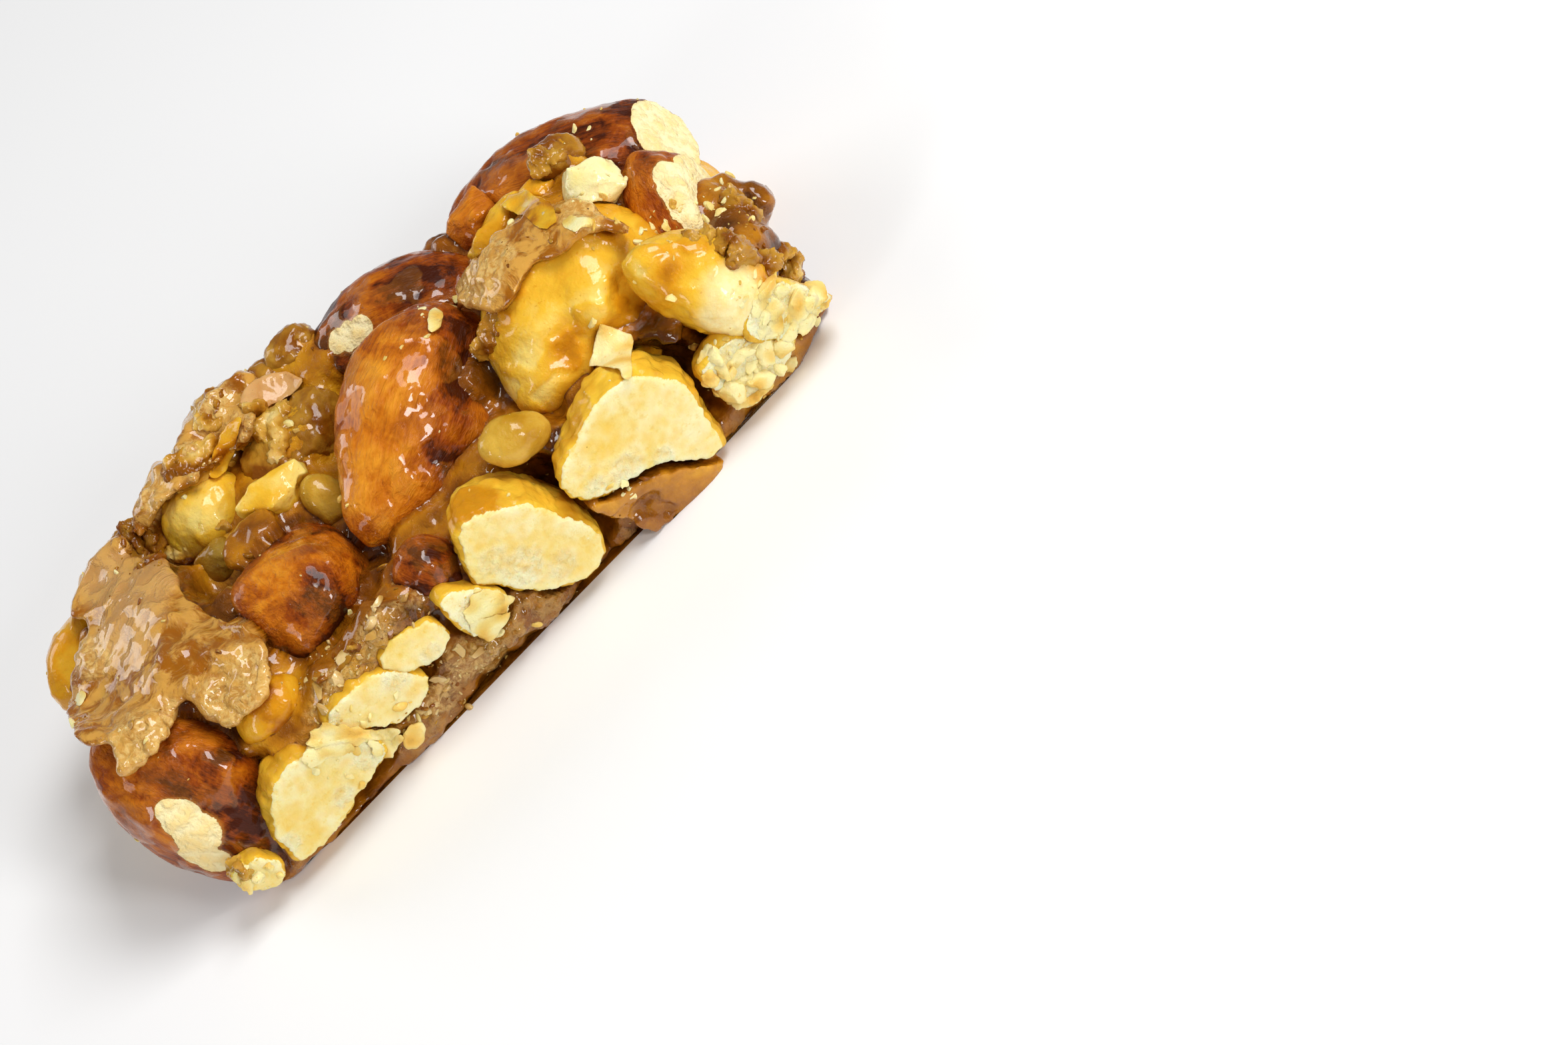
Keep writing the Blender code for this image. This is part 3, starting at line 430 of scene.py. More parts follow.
cutNuts = {   # an outline traces the knife face, and the nut swells behind it
    "cut_cashew_tall": dict(size=(16.2, 12.2, 12), seed=31, voxel=0.22,
        cuts=[frontCut(2.5, 9, -0.03, 0.02)], lean=(0.2, 0, 0.0), outline=[(697, 833), (690, 809),
        (701, 785), (730, 771), (763, 762), (796, 759), (829, 771), (857, 781), (885, 790),
        (900, 809), (904, 833), (895, 856), (876, 870), (848, 880), (810, 885), (777, 885),
        (749, 877), (720, 875), (706, 861)], stainsAndPaintedLight=[((702, 745), 3.8, 0.9),
        ((860, 770), 3.0, 0.2)], chalk=[((790, 855), 3.0), ((750, 845), 2.2), ((850, 850), 2.0)]),
    "cut_cashew_wide": dict(size=(17.4, 13.0, 12), seed=32, voxel=0.22,
        cuts=[frontCut(16.7, 8, 0.03, 0.03)], lean=(0.3, 0, -0.15), outline=[(843, 729),
        (848, 696), (867, 658), (885, 620), (909, 592), (942, 571), (980, 566), (1018, 575),
        (1041, 597), (1060, 625), (1074, 649), (1084, 672), (1065, 686), (1032, 691), (999, 693),
        (970, 705), (947, 719), (923, 736), (895, 748), (871, 748), (852, 738)],
        stainsAndPaintedLight=[((850, 640), 3.0, 0.25), ((1040, 590), 3.0, 0.15)], chalk=[((950, 705), 2.4),
        ((1000, 690), 1.6), ((900, 735), 1.6)]),
    "cut_nut_left": dict(size=(14.4, 8.8, 9), seed=33, voxel=0.22,
        cuts=[frontCut(-27.2, 5, -0.04)], outline=[(425, 1162), (450, 1140), (485, 1135),
        (530, 1118), (559, 1113), (578, 1130), (552, 1176), (531, 1204), (513, 1236), (490, 1264),
        (476, 1275), (455, 1290), (439, 1278), (416, 1255), (409, 1222), (411, 1190)],
        chalk=[((560, 1140), 2.2), ((520, 1200), 1.6), ((440, 1270), 1.6)]),
    "cut_nut_second": dict(size=(10.6, 6.4, 8), seed=34, cuts=[frontCut(-18, 8, 0.02, -0.05, 0.2)],
        outline=[(494, 1088), (504, 1065), (531, 1037), (559, 1019), (587, 1010), (624, 1012),
        (642, 1019), (640, 1047), (624, 1065), (601, 1084), (559, 1093), (522, 1095)],
        chalk=[((600, 1020), 2.0), ((500, 1085), 1.6)]),
    "cut_nut_third": dict(size=(7.6, 5.6, 7), seed=35, cuts=[frontCut(-11.6, 9, 0, 0.06, 0.3)],
        outline=[(573, 986), (587, 963), (615, 945), (647, 935), (672, 949), (670, 973),
        (656, 991), (624, 1007), (596, 1012), (578, 1003)], chalk=[((655, 985), 1.6)]),
    "cut_nut_cracked": dict(size=(6.2, 5.8, 6), seed=36, cuts=[frontCut(-5.2, 6, 0.1, 0)],
        outline=[(664, 905), (682, 889), (720, 886), (758, 889), (764, 918), (749, 943),
        (716, 957), (697, 946), (673, 922)], chalk=[((720, 925), 3.0)]),
    "cut_nut_corner": dict(size=(9.4, 6.2, 8), seed=37, cuts=[frontCut(34, 5, 0.22, 0, 0.3)],
        outline=[(1138, 445), (1176, 424), (1216, 434), (1245, 441), (1244, 461), (1220, 480),
        (1194, 503), (1158, 512), (1134, 507), (1127, 480)], chalk=[((1190, 465), 6.0)]),
    "cut_nut_low": dict(size=(8, 5.6, 6), seed=38, cuts=[frontCut(28, 4.5, -0.05, 0, 0.2)],
        outline=[(1075, 530), (1105, 511), (1149, 514), (1190, 509), (1187, 536), (1167, 565),
        (1149, 592), (1127, 612), (1105, 603), (1087, 589), (1058, 574), (1062, 550)],
        chalk=[((1120, 555), 6.0)]),
    "cut_nut_end_bit": dict(size=(5.8, 4.6, 4.4), seed=39, cuts=[frontCut(-37.6, 3, -0.2, 0, 0.5)],
        outline=[(351, 1315), (383, 1292), (416, 1294), (428, 1315), (409, 1334), (368, 1336)]),
    "back_cashew": dict(size=(15, 9.6, 9), at=(-1.4, 15.4, 7.0), along=(1, 0, -0.3),
        facing=(0, 1, 0), bend=0.1, seed=52, cuts=[backCut(0, 7, 0.04)]),
    "end_nut_left": dict(size=(10, 8, 7), at=(-37.4, 1.8, 6.8), along=(0, 1, 0.2),
        facing=(-1, 0, 0), seed=56, cuts=[((-40.2, 3, 7), (-1, 0.1, 0.1))]),
}
brokenPieces = {   # these keep the corners of their solids
    "nut_wedge": dict(kind="golden", rounding=0.9, shade=-0.24),
    "nut_green_shard": dict(kind="green", rounding=0.5),
    "nut_white_chunk": dict(kind="white", rounding=0.35),
    "nut_ridge_piece": dict(kind="golden", rounding=0.45),
    "nut_ridge_shard": dict(kind="golden", rounding=0.4),
    "almond_red_piece": dict(kind="almond", rounding=0.5),
}


bodySteps = [(0.6, 1.03), (1.4, 1.02), (2.2, 0.95), (2.4, 0.82), (1.6, 0.62)]   # depth, growth


def rawNut(name, size, at, along=(1, 0, 0), facing=(0, 0, 1), point=0.0, bend=0.0, lumps=0.035,
           cuts=(), seed=0, **rest):   # an uneven egg: point narrows its +X end, bend curls it
    deselect()
    bpy.ops.mesh.primitive_uv_sphere_add(segments=64, ring_count=44, radius=1)
    piece = bpy.context.object
    piece.name = name + "Look"
    length, width, depth = (value * mm for value in size)
    for vert in piece.data.vertices:
        run = vert.co.z
        flat = max(0.0, 1.0 - run * run)
        ring = math.sqrt(flat)
        girth = flat ** (0.5 + 0.14 * point * (1 + run)) * (1 - 0.2 * point * run)
        side = vert.co.x / ring if ring > 1e-6 else 0.0
        face = vert.co.y / ring if ring > 1e-6 else 0.0
        swell = 1 + 2 * lumps * noise.noise(vert.co * 1.6 + Vector((seed, 3.1 * seed, 7.7)))
        across = side * girth * swell * width / 2 - bend * width * (run * run - 0.4)
        vert.co = Vector((run * length / 2, across, face * girth * swell * depth / 2))
    settle(piece, turned(at, along, facing))
    faceOut(piece)
    for cutPoint, cutNormal in cuts:
        cutAway(piece, cutPoint, cutNormal)
    cutAway(piece, *tableCut)
    return piece


def slicedNut(name, values):   # starts from the shape of its knife face and swells behind it
    cutPoint, cutNormal = values["cuts"][0]
    piece, outward = shapeOnPlane(name + "Look", values["outline"], inBar(cutPoint), cutNormal,
                                  0.35, values["seed"])
    middle = sum((vert.co for vert in piece.data.vertices), Vector()) / len(piece.data.vertices)
    reach = values["size"][2] / 12
    lean = Vector(values.get("lean", (0, 0, 0)))
    for depth, growth in bodySteps:
        step = (lean - outward) * depth * reach * mm
        middle = middle + step
        bpy.ops.mesh.extrude_region_move(TRANSFORM_OT_translate={"value": step})
        bpy.ops.transform.resize(value=(growth, growth, growth), center_override=middle)
    bpy.ops.object.mode_set(mode="OBJECT")
    faceOut(piece)
    cutAway(piece, *tableCut)
    return piece


coarseDents = relief("coarseDents", "CLOUDS", 2.6, noise_depth=1)
fineDents = relief("fineDents", "CLOUDS", 0.8, noise_depth=2)
crumblyDents = relief("crumblyDents", "CLOUDS", 0.5, noise_depth=3)


def nearest(places, across, down):   # the vertex that shows at a pixel of the photograph
    eye, ray = (np.array(part) for part in sightLine(across, down))
    reach = (places - eye) @ ray
    apart = np.linalg.norm(places - eye - np.outer(reach, ray), axis=1)
    close = apart < max(0.5 * mm, apart.min() * 1.05)
    return places[np.flatnonzero(close)[np.argmin(reach[close])]]


def spotOn(places, pixel, reach):   # 1 at the vertex that shows at a pixel, 0 past the reach
    apart = np.linalg.norm(places - nearest(places, *pixel), axis=1) / (reach * mm)
    return np.clip(1 - apart ** 2, 0, 1) ** 2


def nudge(piece, cuts, pushes):   # a push goes right, up and towards the camera, in mm
    sides = np.array(eyePlace.to_3x3()).T
    places = points(piece)
    moved = places.copy()
    for pixel, reach, push in pushes:
        shift = np.array(push) @ sides
        for cutPoint, cutNormal in cuts:
            normal = np.array(Vector(cutNormal).normalized())
            if push[2] == 0:
                shift = shift - normal * (shift @ normal)   # a knife face stays flat
        moved += np.outer(spotOn(places, pixel, reach), shift * mm)
    movePoints(piece, moved)


def glazeFilm(piece, values, height):   # a raised skin of caramel with rounded borders
    film, moved = [], []
    cutPoint, cutNormal = values["cuts"][0] if values.get("cuts") else (None, (0, 0, 1))
    outward = Vector(cutNormal).normalized()
    for vert in piece.data.vertices:
        place = vert.co / mm + Vector((values["seed"] * 5.3, 0, 0))
        if cutPoint and (vert.co - inBar(cutPoint)).dot(outward) > -0.4 * mm:   # sawn, so no film
            jitter = noise.noise_vector(place / 0.9) * 0.22
            jitter = jitter + noise.noise_vector(place / 0.35) * 0.10
            moved.append(vert.co + (jitter - outward * jitter.dot(outward)) * mm)
            film.append(0.0)
        else:
            thick = noise.noise(place / 3.4) + 0.35 * noise.noise(place / 1.2)
            thick = min(1.0, max(0.0, (thick + 0.02) / 0.14))
            moved.append(vert.co + vert.normal * height * thick * mm)
            film.append(thick)
    movePoints(piece, moved)
    return film


def dressNut(piece, values, dents=0.45, fine=0.12, crumbly=0.45):   # relief in mm
    almond, cuts = "almond" in piece.name, values.get("cuts", ())
    remade(piece, values.get("voxel", 0.28))
    nudge(piece, cuts, values.get("pushes", ()))
    film = glazeFilm(piece, values, 0.10 if almond or values["size"][0] < 8 else 0.20)
    places = points(piece)
    cutFace, chalk = np.zeros(len(places)), np.zeros(len(places))
    for cutPoint, cutNormal in cuts:
        distance = (places - np.array(inBar(cutPoint))) @ np.array(Vector(cutNormal).normalized())
        cutFace = np.maximum(cutFace, np.clip((distance / mm + 0.34) / 0.16, 0, 1))
    bare = 0 * cutFace if values.get("skinOverCut") else cutFace
    border = 1.8 if almond else 1.2   # almond skin tears, golden skin fades
    for pixel, reach in values.get("bare", ()):
        bare = np.maximum(bare, np.clip(spotOn(places, pixel, reach) * border, 0, 1))
    # spots of real stain, and of painted highlight and painted shade
    shade = np.full(len(places), values.get("shade", 0.0))
    for pixel, reach, amount in values.get("stainsAndPaintedLight", ()):
        shade += amount * spotOn(places, pixel, reach)
    for pixel, reach in values.get("chalk", ()):
        chalk = np.maximum(chalk, np.clip(spotOn(places, pixel, reach) * 2.5, 0, 1) * cutFace)
    keep(piece, "cutFace", bare)
    keep(piece, "shade", shade)
    keep(piece, "chalk", chalk)
    keep(piece, "film", np.array(film) * values.get("filmShare", 1))
    if almond:   # the streaks of its skin run along it
        turn = np.array(turned(values["at"], values["along"], values["facing"]).inverted())
        local = (places @ turn[:3, :3].T + turn[:3, 3]) / mm
        keepPlace(piece, "skinPlace", local + np.array([3.7 * values["seed"], 0, 0]))
    weigh(piece, "skin", 1 - cutFace)
    weigh(piece, "face", cutFace * (0.25 + 0.75 * chalk))
    dent(piece, coarseDents, dents, "skin")
    dent(piece, fineDents, fine, "skin")
    if cuts:
        dent(piece, crumblyDents, crumbly, "face")
    piece.vertex_groups.clear()
    smoothShade(piece)
    return piece


def brokenPiece(name, values):
    piece = freeCopy(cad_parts[name], name + "Look")
    editAll(piece, bpy.ops.mesh.remove_doubles, threshold=1e-6)
    finish(piece, "BEVEL", width=values["rounding"] * mm, segments=2, limit_method="ANGLE",
           angle_limit=math.radians(20))
    remade(piece, 0.2, 3)
    dent(piece, coarseDents, 0.5)
    dent(piece, fineDents, 0.2)
    places = points(piece)
    keepPlace(piece, "skinPlace", places / mm)
    keep(piece, "cutFace", np.zeros(len(places)))
    keep(piece, "shade", np.full(len(places), values.get("shade", 0.0)))
    keep(piece, "film", [0.4 + noise.noise(vert.co / (1.8 * mm)) for vert in piece.data.vertices])
    smoothShade(piece)
    return piece


families = {"almond": almonds, "golden": goldenNuts, "toffee": toffeeNuts, "cut": cutNuts}
skinRelief = {"almond": dict(fine=0.08), "golden": dict(dents=0.30, fine=0.09),
              "toffee": dict(dents=0.8, fine=0.5)}   # mm
# mm by which the copy of a nut that the caramel is made from is smaller than the nut
sinkOf = {"almond": 0.40, "golden": 0.45, "toffee": 0.10, "cut": 0.50, "green": 0.3, "white": 0.5}
nutPieces, kinds, hearts = {}, {}, []
for family, group in families.items():
    for name, values in group.items():
        piece = slicedNut(name, values) if "outline" in values else rawNut(name, **values)
        hearts.append((freeCopy(piece, "heart"), sinkOf[family]))
        nutPieces[name] = dressNut(piece, values, **skinRelief.get(family, {}))
        kinds[name] = values.get("kind", family)
for name, values in brokenPieces.items():
    piece = brokenPiece(name, values)
    hearts.append((freeCopy(piece, "heart"), sinkOf[values["kind"]]))
    nutPieces[name] = piece
    kinds[name] = values["kind"]
print("nuts:", len(nutPieces))


# Caramel

crispSheets = {   # outlines by pixels of the photograph, the rest in mm
    "mainSheet": dict(outline=[(140, 900), (165, 862), (205, 836), (240, 838), (262, 868),
        (290, 905), (330, 925), (375, 945), (400, 985), (403, 1030), (385, 1062), (355, 1082),
        (330, 1088), (312, 1072), (300, 1054), (280, 1050), (266, 1064), (258, 1090), (240, 1112),
        (222, 1130), (204, 1152), (182, 1156), (172, 1134), (170, 1112), (146, 1120), (120, 1112),
        (102, 1086), (104, 1050), (116, 1006), (124, 955)], thick=1.5, cover=0.9, reach=2,
        wave=0.8, ragged=0.6, seed=8),
    "ridgeSheet": dict(outline=[(688, 452), (693, 423), (717, 385), (751, 346), (780, 322),
        (809, 307), (847, 303), (881, 312), (910, 325), (939, 336), (945, 352), (910, 345),
        (871, 350), (850, 378), (799, 399), (785, 418), (765, 457), (746, 467), (717, 462)],
        thick=2.4, cover=0.0, reach=2, wave=0.6, ragged=0.7, seed=4),
    "leftLobe": dict(outline=[(112, 925), (114, 890), (126, 856), (150, 826), (178, 806),
        (194, 822), (192, 850), (180, 880), (162, 905), (140, 930)], thick=3.0, cover=-0.6,
        reach=3, wave=0.4, ragged=0.3, seed=7),
    "farCover": dict(outline=[(200, 790), (206, 760), (222, 724), (245, 694), (275, 690),
        (300, 705), (285, 730), (250, 745), (232, 770), (214, 800)], thick=5.0, cover=-1.6,
        reach=3, wave=1.2, ragged=0.8, seed=6),
    "backCover": dict(outline=[(262, 700), (272, 650), (290, 612), (318, 590), (352, 562),
        (376, 566), (380, 600), (372, 640), (350, 670), (318, 695), (290, 712)], thick=5.6,
        cover=-1.9, reach=3, wave=1.5, ragged=0.9, seed=9),
    "skirt": dict(outline=[(866, 748), (902, 736), (936, 716), (970, 698), (1006, 689),
        (1048, 684), (1076, 677), (1060, 710), (1022, 748), (992, 774), (968, 784), (946, 776),
        (910, 768)], thick=4.6, on=((17.0, -17.0, 3.0), (0.03, -1, 0.03)), wave=1.5, ragged=0.4,
        seed=10),
}
# pixel of the photograph and reach in mm
crustSpots = [((380, 1020), 5.0), ((335, 1062), 4.4), ((215, 1120), 5.0), ((250, 1085), 3.4),
    ((140, 985), 3.0), ((715, 420), 3.6), ((870, 325), 3.0), ((740, 375), 2.4), ((312, 610), 3.6),
    ((370, 640), 3.4), ((225, 735), 3.2), ((285, 690), 2.6)]
crystalSpots = [((572, 900), 3.6), ((540, 950), 3.4), ((490, 1005), 3.6), ((470, 1050), 3.0),
    ((655, 1040), 3.0), ((690, 985), 3.4), ((735, 985), 2.6), ((610, 895), 2.6)]
# pixel and reach in mm: hollows, darkened as deeper pooled caramel and as painted shade
poolAndShadeSpots = [((620, 930), 2.6), ((700, 745), 2.4), ((655, 870), 2.2), ((722, 560), 3.2),
    ((990, 525), 3.6), ((835, 668), 2.4), ((330, 1105), 2.6), ((425, 1095), 2.2),
    ((452, 800), 2.8), ((655, 345), 2.6), ((1060, 350), 3.0), ((1180, 400), 4.0),
    ((560, 850), 2.4)]
# pixel and reach in mm: a satin surface with a painted pale tan sheen on the sheet
satinAndSheenSpots = [((150, 860), 4.5), ((200, 890), 5.0), ((235, 870), 3.0), ((180, 960), 4.0)]
pours = {   # caramel that lies over nuts: place, size, way it faces
    "capOnAlmond": dict(at=(-16.8, 1.6, 17.0), size=(7, 5, 2.6), facing=(0, -0.3, 1)),
    "blobUnderFlake": dict(at=(-27.4, -15.6, 10.0), size=(4.4, 4, 5), facing=(0, -0.8, 0.6)),
}


def pour(at, size, facing):
    deselect()
    bpy.ops.mesh.primitive_ico_sphere_add(subdivisions=4, radius=0.5)
    piece = bpy.context.object
    piece.scale = [value * mm for value in size]
    bpy.ops.object.transform_apply(location=False, rotation=False, scale=True)
    settle(piece, turned(at, (1, 0, 0), facing))
    return piece


def largestShell(piece):   # drops loose scraps and hidden hollows
    mesh = bmesh.new()
    mesh.from_mesh(piece.data)
    seen, best = set(), []
    for first in mesh.verts:
        if first in seen:
            continue
        seen.add(first)
        shell, waiting = [first], [first]
        while waiting:
            for edge in waiting.pop().link_edges:
                for vert in edge.verts:
                    if vert not in seen:
                        seen.add(vert)
                        shell.append(vert)
                        waiting.append(vert)
        if len(shell) > len(best):
            best = shell
    kept = set(best)
    bmesh.ops.delete(mesh, geom=[vert for vert in mesh.verts if vert not in kept], context="VERTS")
    mesh.to_mesh(piece.data)
    mesh.free()


def treeOf(piece):
    return BVHTree.FromPolygons([vert.co for vert in piece.data.vertices],
                                [face.vertices for face in piece.data.polygons])


def treeOfNuts():   # one tree for all nuts, and which nut each of its faces belongs to
    corners, faces, owners = [], [], []
    for name, piece in nutPieces.items():
        base = len(corners)
        corners += [vert.co.copy() for vert in piece.data.vertices]
        faces += [[corner + base for corner in face.vertices] for face in piece.data.polygons]
        owners += [name] * len(piece.data.polygons)
    return BVHTree.FromPolygons(corners, faces), owners


caramelLook = {"bridge": 0.30, "flowVoxel": 0.45, "flow": 14, "voxel": 0.30, "triangles": 185000,
               "lumps": 1.1, "wrinkles": 0.34, "blisters": 0.8, "crystals": 1.1, "sawn": 1.1}
block = freeCopy(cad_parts["caramel"], "block")
editAll(block, bpy.ops.mesh.remove_doubles, threshold=1e-6)
dent(block, None, caramelLook["bridge"], level=0.0)
for heart, sink in hearts:
    dent(heart, None, -sink, level=0.0)
flowing = joined("flowing", [block] + [heart for heart, sink in hearts]
                 + [pour(**values) for values in pours.values()])
remade(flowing, caramelLook["flowVoxel"], caramelLook["flow"])
nutTree, nutOwners = treeOfNuts()
flowTree = treeOf(flowing)
sheets = {name: laidPlate(name, (nutTree, flowTree), **values)
          for name, values in crispSheets.items()}
skirtTree = treeOf(sheets["skirt"])
sheetTrees = [treeOf(piece) for name, piece in sheets.items() if name != "skirt"]
caramel = joined("caramelLook", [flowing] + list(sheets.values()))
finish(caramel, "REMESH", mode="VOXEL", voxel_size=caramelLook["voxel"] * mm)
largestShell(caramel)
finish(caramel, "SMOOTH", iterations=2, factor=0.5)
pixelsPerMm = 16   # of the photograph, at the bar
farthest = 6.0   # mm over a nut, past which it makes no difference


def measureDepth(piece):   # mm of caramel over the nearest nut, and which nut that is
    depths, over = [], []
    for vert in piece.data.vertices:
        spot, normal, index, distance = nutTree.find_nearest(vert.co, farthest * mm)
        if distance is None:
            depths.append(farthest)
            over.append("none")
        else:
            outside = (vert.co - spot).dot(normal) >= 0
            depths.append(distance / mm * (1 if outside else -1))
            over.append(nutOwners[index])
    return np.array(depths), over


def spotWeights(spots, places):   # how near the places show to pixels of the photograph
    pixels = np.array([pixelOf(place) for place in places])
    weight = np.zeros(len(pixels))
    for pixel, reach in spots:
        apart = np.linalg.norm(pixels - np.array(pixel), axis=1) / (pixelsPerMm * reach)
        weight = np.maximum(weight, np.clip(1 - apart ** 2, 0, 1))
    return weight


def onSheets(places):   # 1 on a pale sheet, less beside it
    share = []
    for place in places:
        found = [tree.find_nearest(Vector(place), 1.4 * mm)[3] for tree in sheetTrees]
        share.append(max([0.0] + [1 - away / (1.4 * mm) for away in found if away is not None]))
    return np.array(share)


def onSkirt(places):   # the wet strip under the cut cashew
    return np.array([skirtTree.find_nearest(Vector(place), 0.9 * mm)[3] is not None
                     for place in places])


def nearFront(places, start=17.0):   # 0 up to so many mm from the middle line, 1 at the sawn front
    return np.clip((-places[:, 1] / mm - start) / 1.2, 0, 1)


depths, over = measureDepth(caramel)
filmsOff = {"almond_end_on": 1.3, "almond_middle": 0.8, "cut_cashew_wide": 0.3,
            "cut_cashew_tall": 0.5, "nut_big_golden": 0.25, "almond_left_end": 0.7}   # mm
for vert, depth, name in zip(caramel.data.vertices, depths, over):   # thin films come off
    if -0.4 < depth < filmsOff.get(name, 0.4 if kinds.get(name) == "almond" else -1):
        spot, normal, index, distance = nutTree.find_nearest(vert.co)
        vert.co = spot - normal * 0.25 * mm
caramel.data.update()
thick = np.clip(depths / 1.4, 0.08, 1.0)
weigh(caramel, "thick", thick)
weigh(caramel, "wrinkled", thick * (1 - 0.45 * onSheets(points(caramel))))
dent(caramel, relief("flowLumps", "CLOUDS", 3.0, noise_depth=1), caramelLook["lumps"], "thick")
dent(caramel, relief("flowWrinkles", "CLOUDS", 1.0, noise_depth=2), caramelLook["wrinkles"],
     "wrinkled")
places = points(caramel)
front = nearFront(places) * (1 - 0.75 * onSkirt(places))
weigh(caramel, "blistered", spotWeights(crustSpots, places) * onSheets(places))
weigh(caramel, "broken", front)
weigh(caramel, "crystal", spotWeights(crystalSpots, places) * front)
dent(caramel, relief("blisters", "VORONOI", 1.4), caramelLook["blisters"], "blistered", 0.3)
dent(caramel, relief("crystals", "VORONOI", 0.9), caramelLook["crystals"], "crystal", 0.3)
dent(caramel, relief("sawnGrain", "CLOUDS", 0.9, noise_depth=2), caramelLook["sawn"], "broken",
     0.55)
caramel.vertex_groups.clear()
cutAway(caramel, (0, 0, 0), (0, 0, -1))
share = caramelLook["triangles"] / (2 * len(caramel.data.polygons))
if share < 1:
    finish(caramel, "DECIMATE", ratio=share)
smoothShade(caramel)
print("caramel:", len(caramel.data.polygons), "faces")


# What the materials need to know: how near a nut's skin is to the caramel, where it is darker
# as a thicker glaze and as painted shade where nut and caramel meet, and how deep the caramel
# lies over which nut
caramelTree = treeOf(caramel)
for name, piece in nutPieces.items():
    near = []
    for vert in piece.data.vertices:
        spot, normal, index, distance = caramelTree.find_nearest(vert.co, 5 * mm)
        near.append(0.0 if distance is None else math.exp(-distance / (1.0 * mm)))
    keep(piece, "glaze", near)
depths, over = measureDepth(caramel)
places = points(caramel)
crisp = onSheets(places)
wet = onSkirt(places)
keep(caramel, "rimmed", crisp * spotWeights(crustSpots, places))
# pooled caramel and painted shade at the listed hollows
keep(caramel, "hollow", spotWeights(poolAndShadeSpots, places))
keep(caramel, "crystal", spotWeights(crystalSpots, places) * nearFront(places, 16.0))
keep(caramel, "satin", crisp * spotWeights(satinAndSheenSpots, places))
shut = []
for vert in caramel.data.vertices:   # how closed in each place is, for painted shade in the crevices
    free = 0.0
    side = vert.normal.orthogonal()
    for ray in (vert.normal, vert.normal + side, vert.normal - side,
                vert.normal + side.cross(vert.normal), vert.normal - side.cross(vert.normal)):
        start = vert.co + vert.normal * 0.15 * mm
        found = [tree.ray_cast(start, ray, 4 * mm)[3] for tree in (nutTree, caramelTree)]
        free += min([1.0] + [distance / (4 * mm) for distance in found if distance is not None])
    shut.append(1 - free / 5)
keep(caramel, "shut", shut)
keep(caramel, "sawn", nearFront(places) * (1 - wet))
keep(caramel, "deep", np.where(wet, np.clip(depths / 4.5, 0, 0.9), np.clip(depths / 2.4, 0, 1)))
keep(caramel, "dark", np.exp(-np.clip(depths, 0, 9) / 1.2)
     * np.array([kinds.get(name) == "almond" for name in over]))
keep(caramel, "crisp", crisp)
print("depths measured")


# Broken bits: flakes and chunks by pixels of the photograph, then crumbs on every side

flakes = {   # pale unless another kind is said
    "whiteChip": dict(outline=[(900, 488), (904, 486), (943, 500), (949, 505), (948, 552),
        (944, 568), (934, 566), (926, 552), (890, 549), (885, 545)], thick=1.5, cover=0.8,
        wave=0.3, ragged=0.25, seed=1),
    "skinPeel": dict(kind="peel", outline=[(361, 604), (369, 582), (396, 564), (427, 558),
        (451, 569), (449, 582), (427, 597), (400, 611), (381, 615)], thick=0.6, cover=0.6,
        wave=0.7, ragged=0.25, seed=2),
    "scale": dict(kind="golden", outline=[(314, 710), (321, 675), (334, 644), (361, 626),
        (354, 662), (347, 693), (327, 719)], thick=1.0, cover=0.7, wave=0.4, ragged=0.4, seed=3),
    "shredTop": dict(outline=[(464, 1094), (500, 1090), (545, 1096), (594, 1094), (590, 1108),
        (562, 1112), (530, 1116), (500, 1122), (468, 1124)], thick=1.8, cover=1.0, wave=0.5,
        ragged=1.1, seed=7),
    "shredMiddle": dict(outline=[(466, 1118), (494, 1112), (520, 1114), (530, 1124), (508, 1136),
        (486, 1146), (462, 1152), (454, 1140)], thick=1.6, cover=0.8, wave=0.5, ragged=1.1,
        seed=27),
    "shredRight": dict(outline=[(556, 1112), (580, 1106), (600, 1112), (596, 1130), (580, 1142),
        (562, 1132)], thick=1.4, cover=0.8, wave=0.6, ragged=1.2, seed=37),
    "yellowShard": dict(kind="golden", outline=[(753, 303), (775, 289), (804, 293), (826, 303),
        (823, 322), (799, 327), (770, 317)], thick=1.6, cover=0.9, wave=0.3, ragged=0.5, seed=8),
    "whiteSpeck": dict(outline=[(642, 470), (654, 462), (664, 474), (658, 494), (644, 498)],
        thick=0.6, cover=0.4, wave=0.2, ragged=0.3, seed=9),
    "paleRidge": dict(outline=[(838, 330), (862, 322), (888, 330), (884, 341), (850, 343)],
        thick=0.6, cover=0.4, wave=0.2, ragged=0.5, seed=10),
    "roundSlice": dict(outline=[(604, 1112), (609, 1094), (630, 1084), (641, 1094), (634, 1112),
        (614, 1126)], thick=1.2, cover=0.5, wave=0.3, ragged=0.5, seed=11),
    "grainLeft": dict(outline=[(110, 1050), (122, 1036), (130, 1042), (120, 1060)], thick=0.8,
        cover=0.4, wave=0.1, ragged=0.1, seed=12),
    "crackedTop": dict(outline=[(700, 912), (730, 890), (762, 890), (764, 912), (740, 928),
        (706, 938)], thick=0.8, cover=0.6, wave=0.3, ragged=0.8, seed=13),
    "crackedLow": dict(outline=[(706, 942), (742, 930), (764, 918), (758, 938), (740, 956),
        (716, 958)], thick=1.2, cover=0.7, wave=0.3, ragged=0.6, seed=14),
}
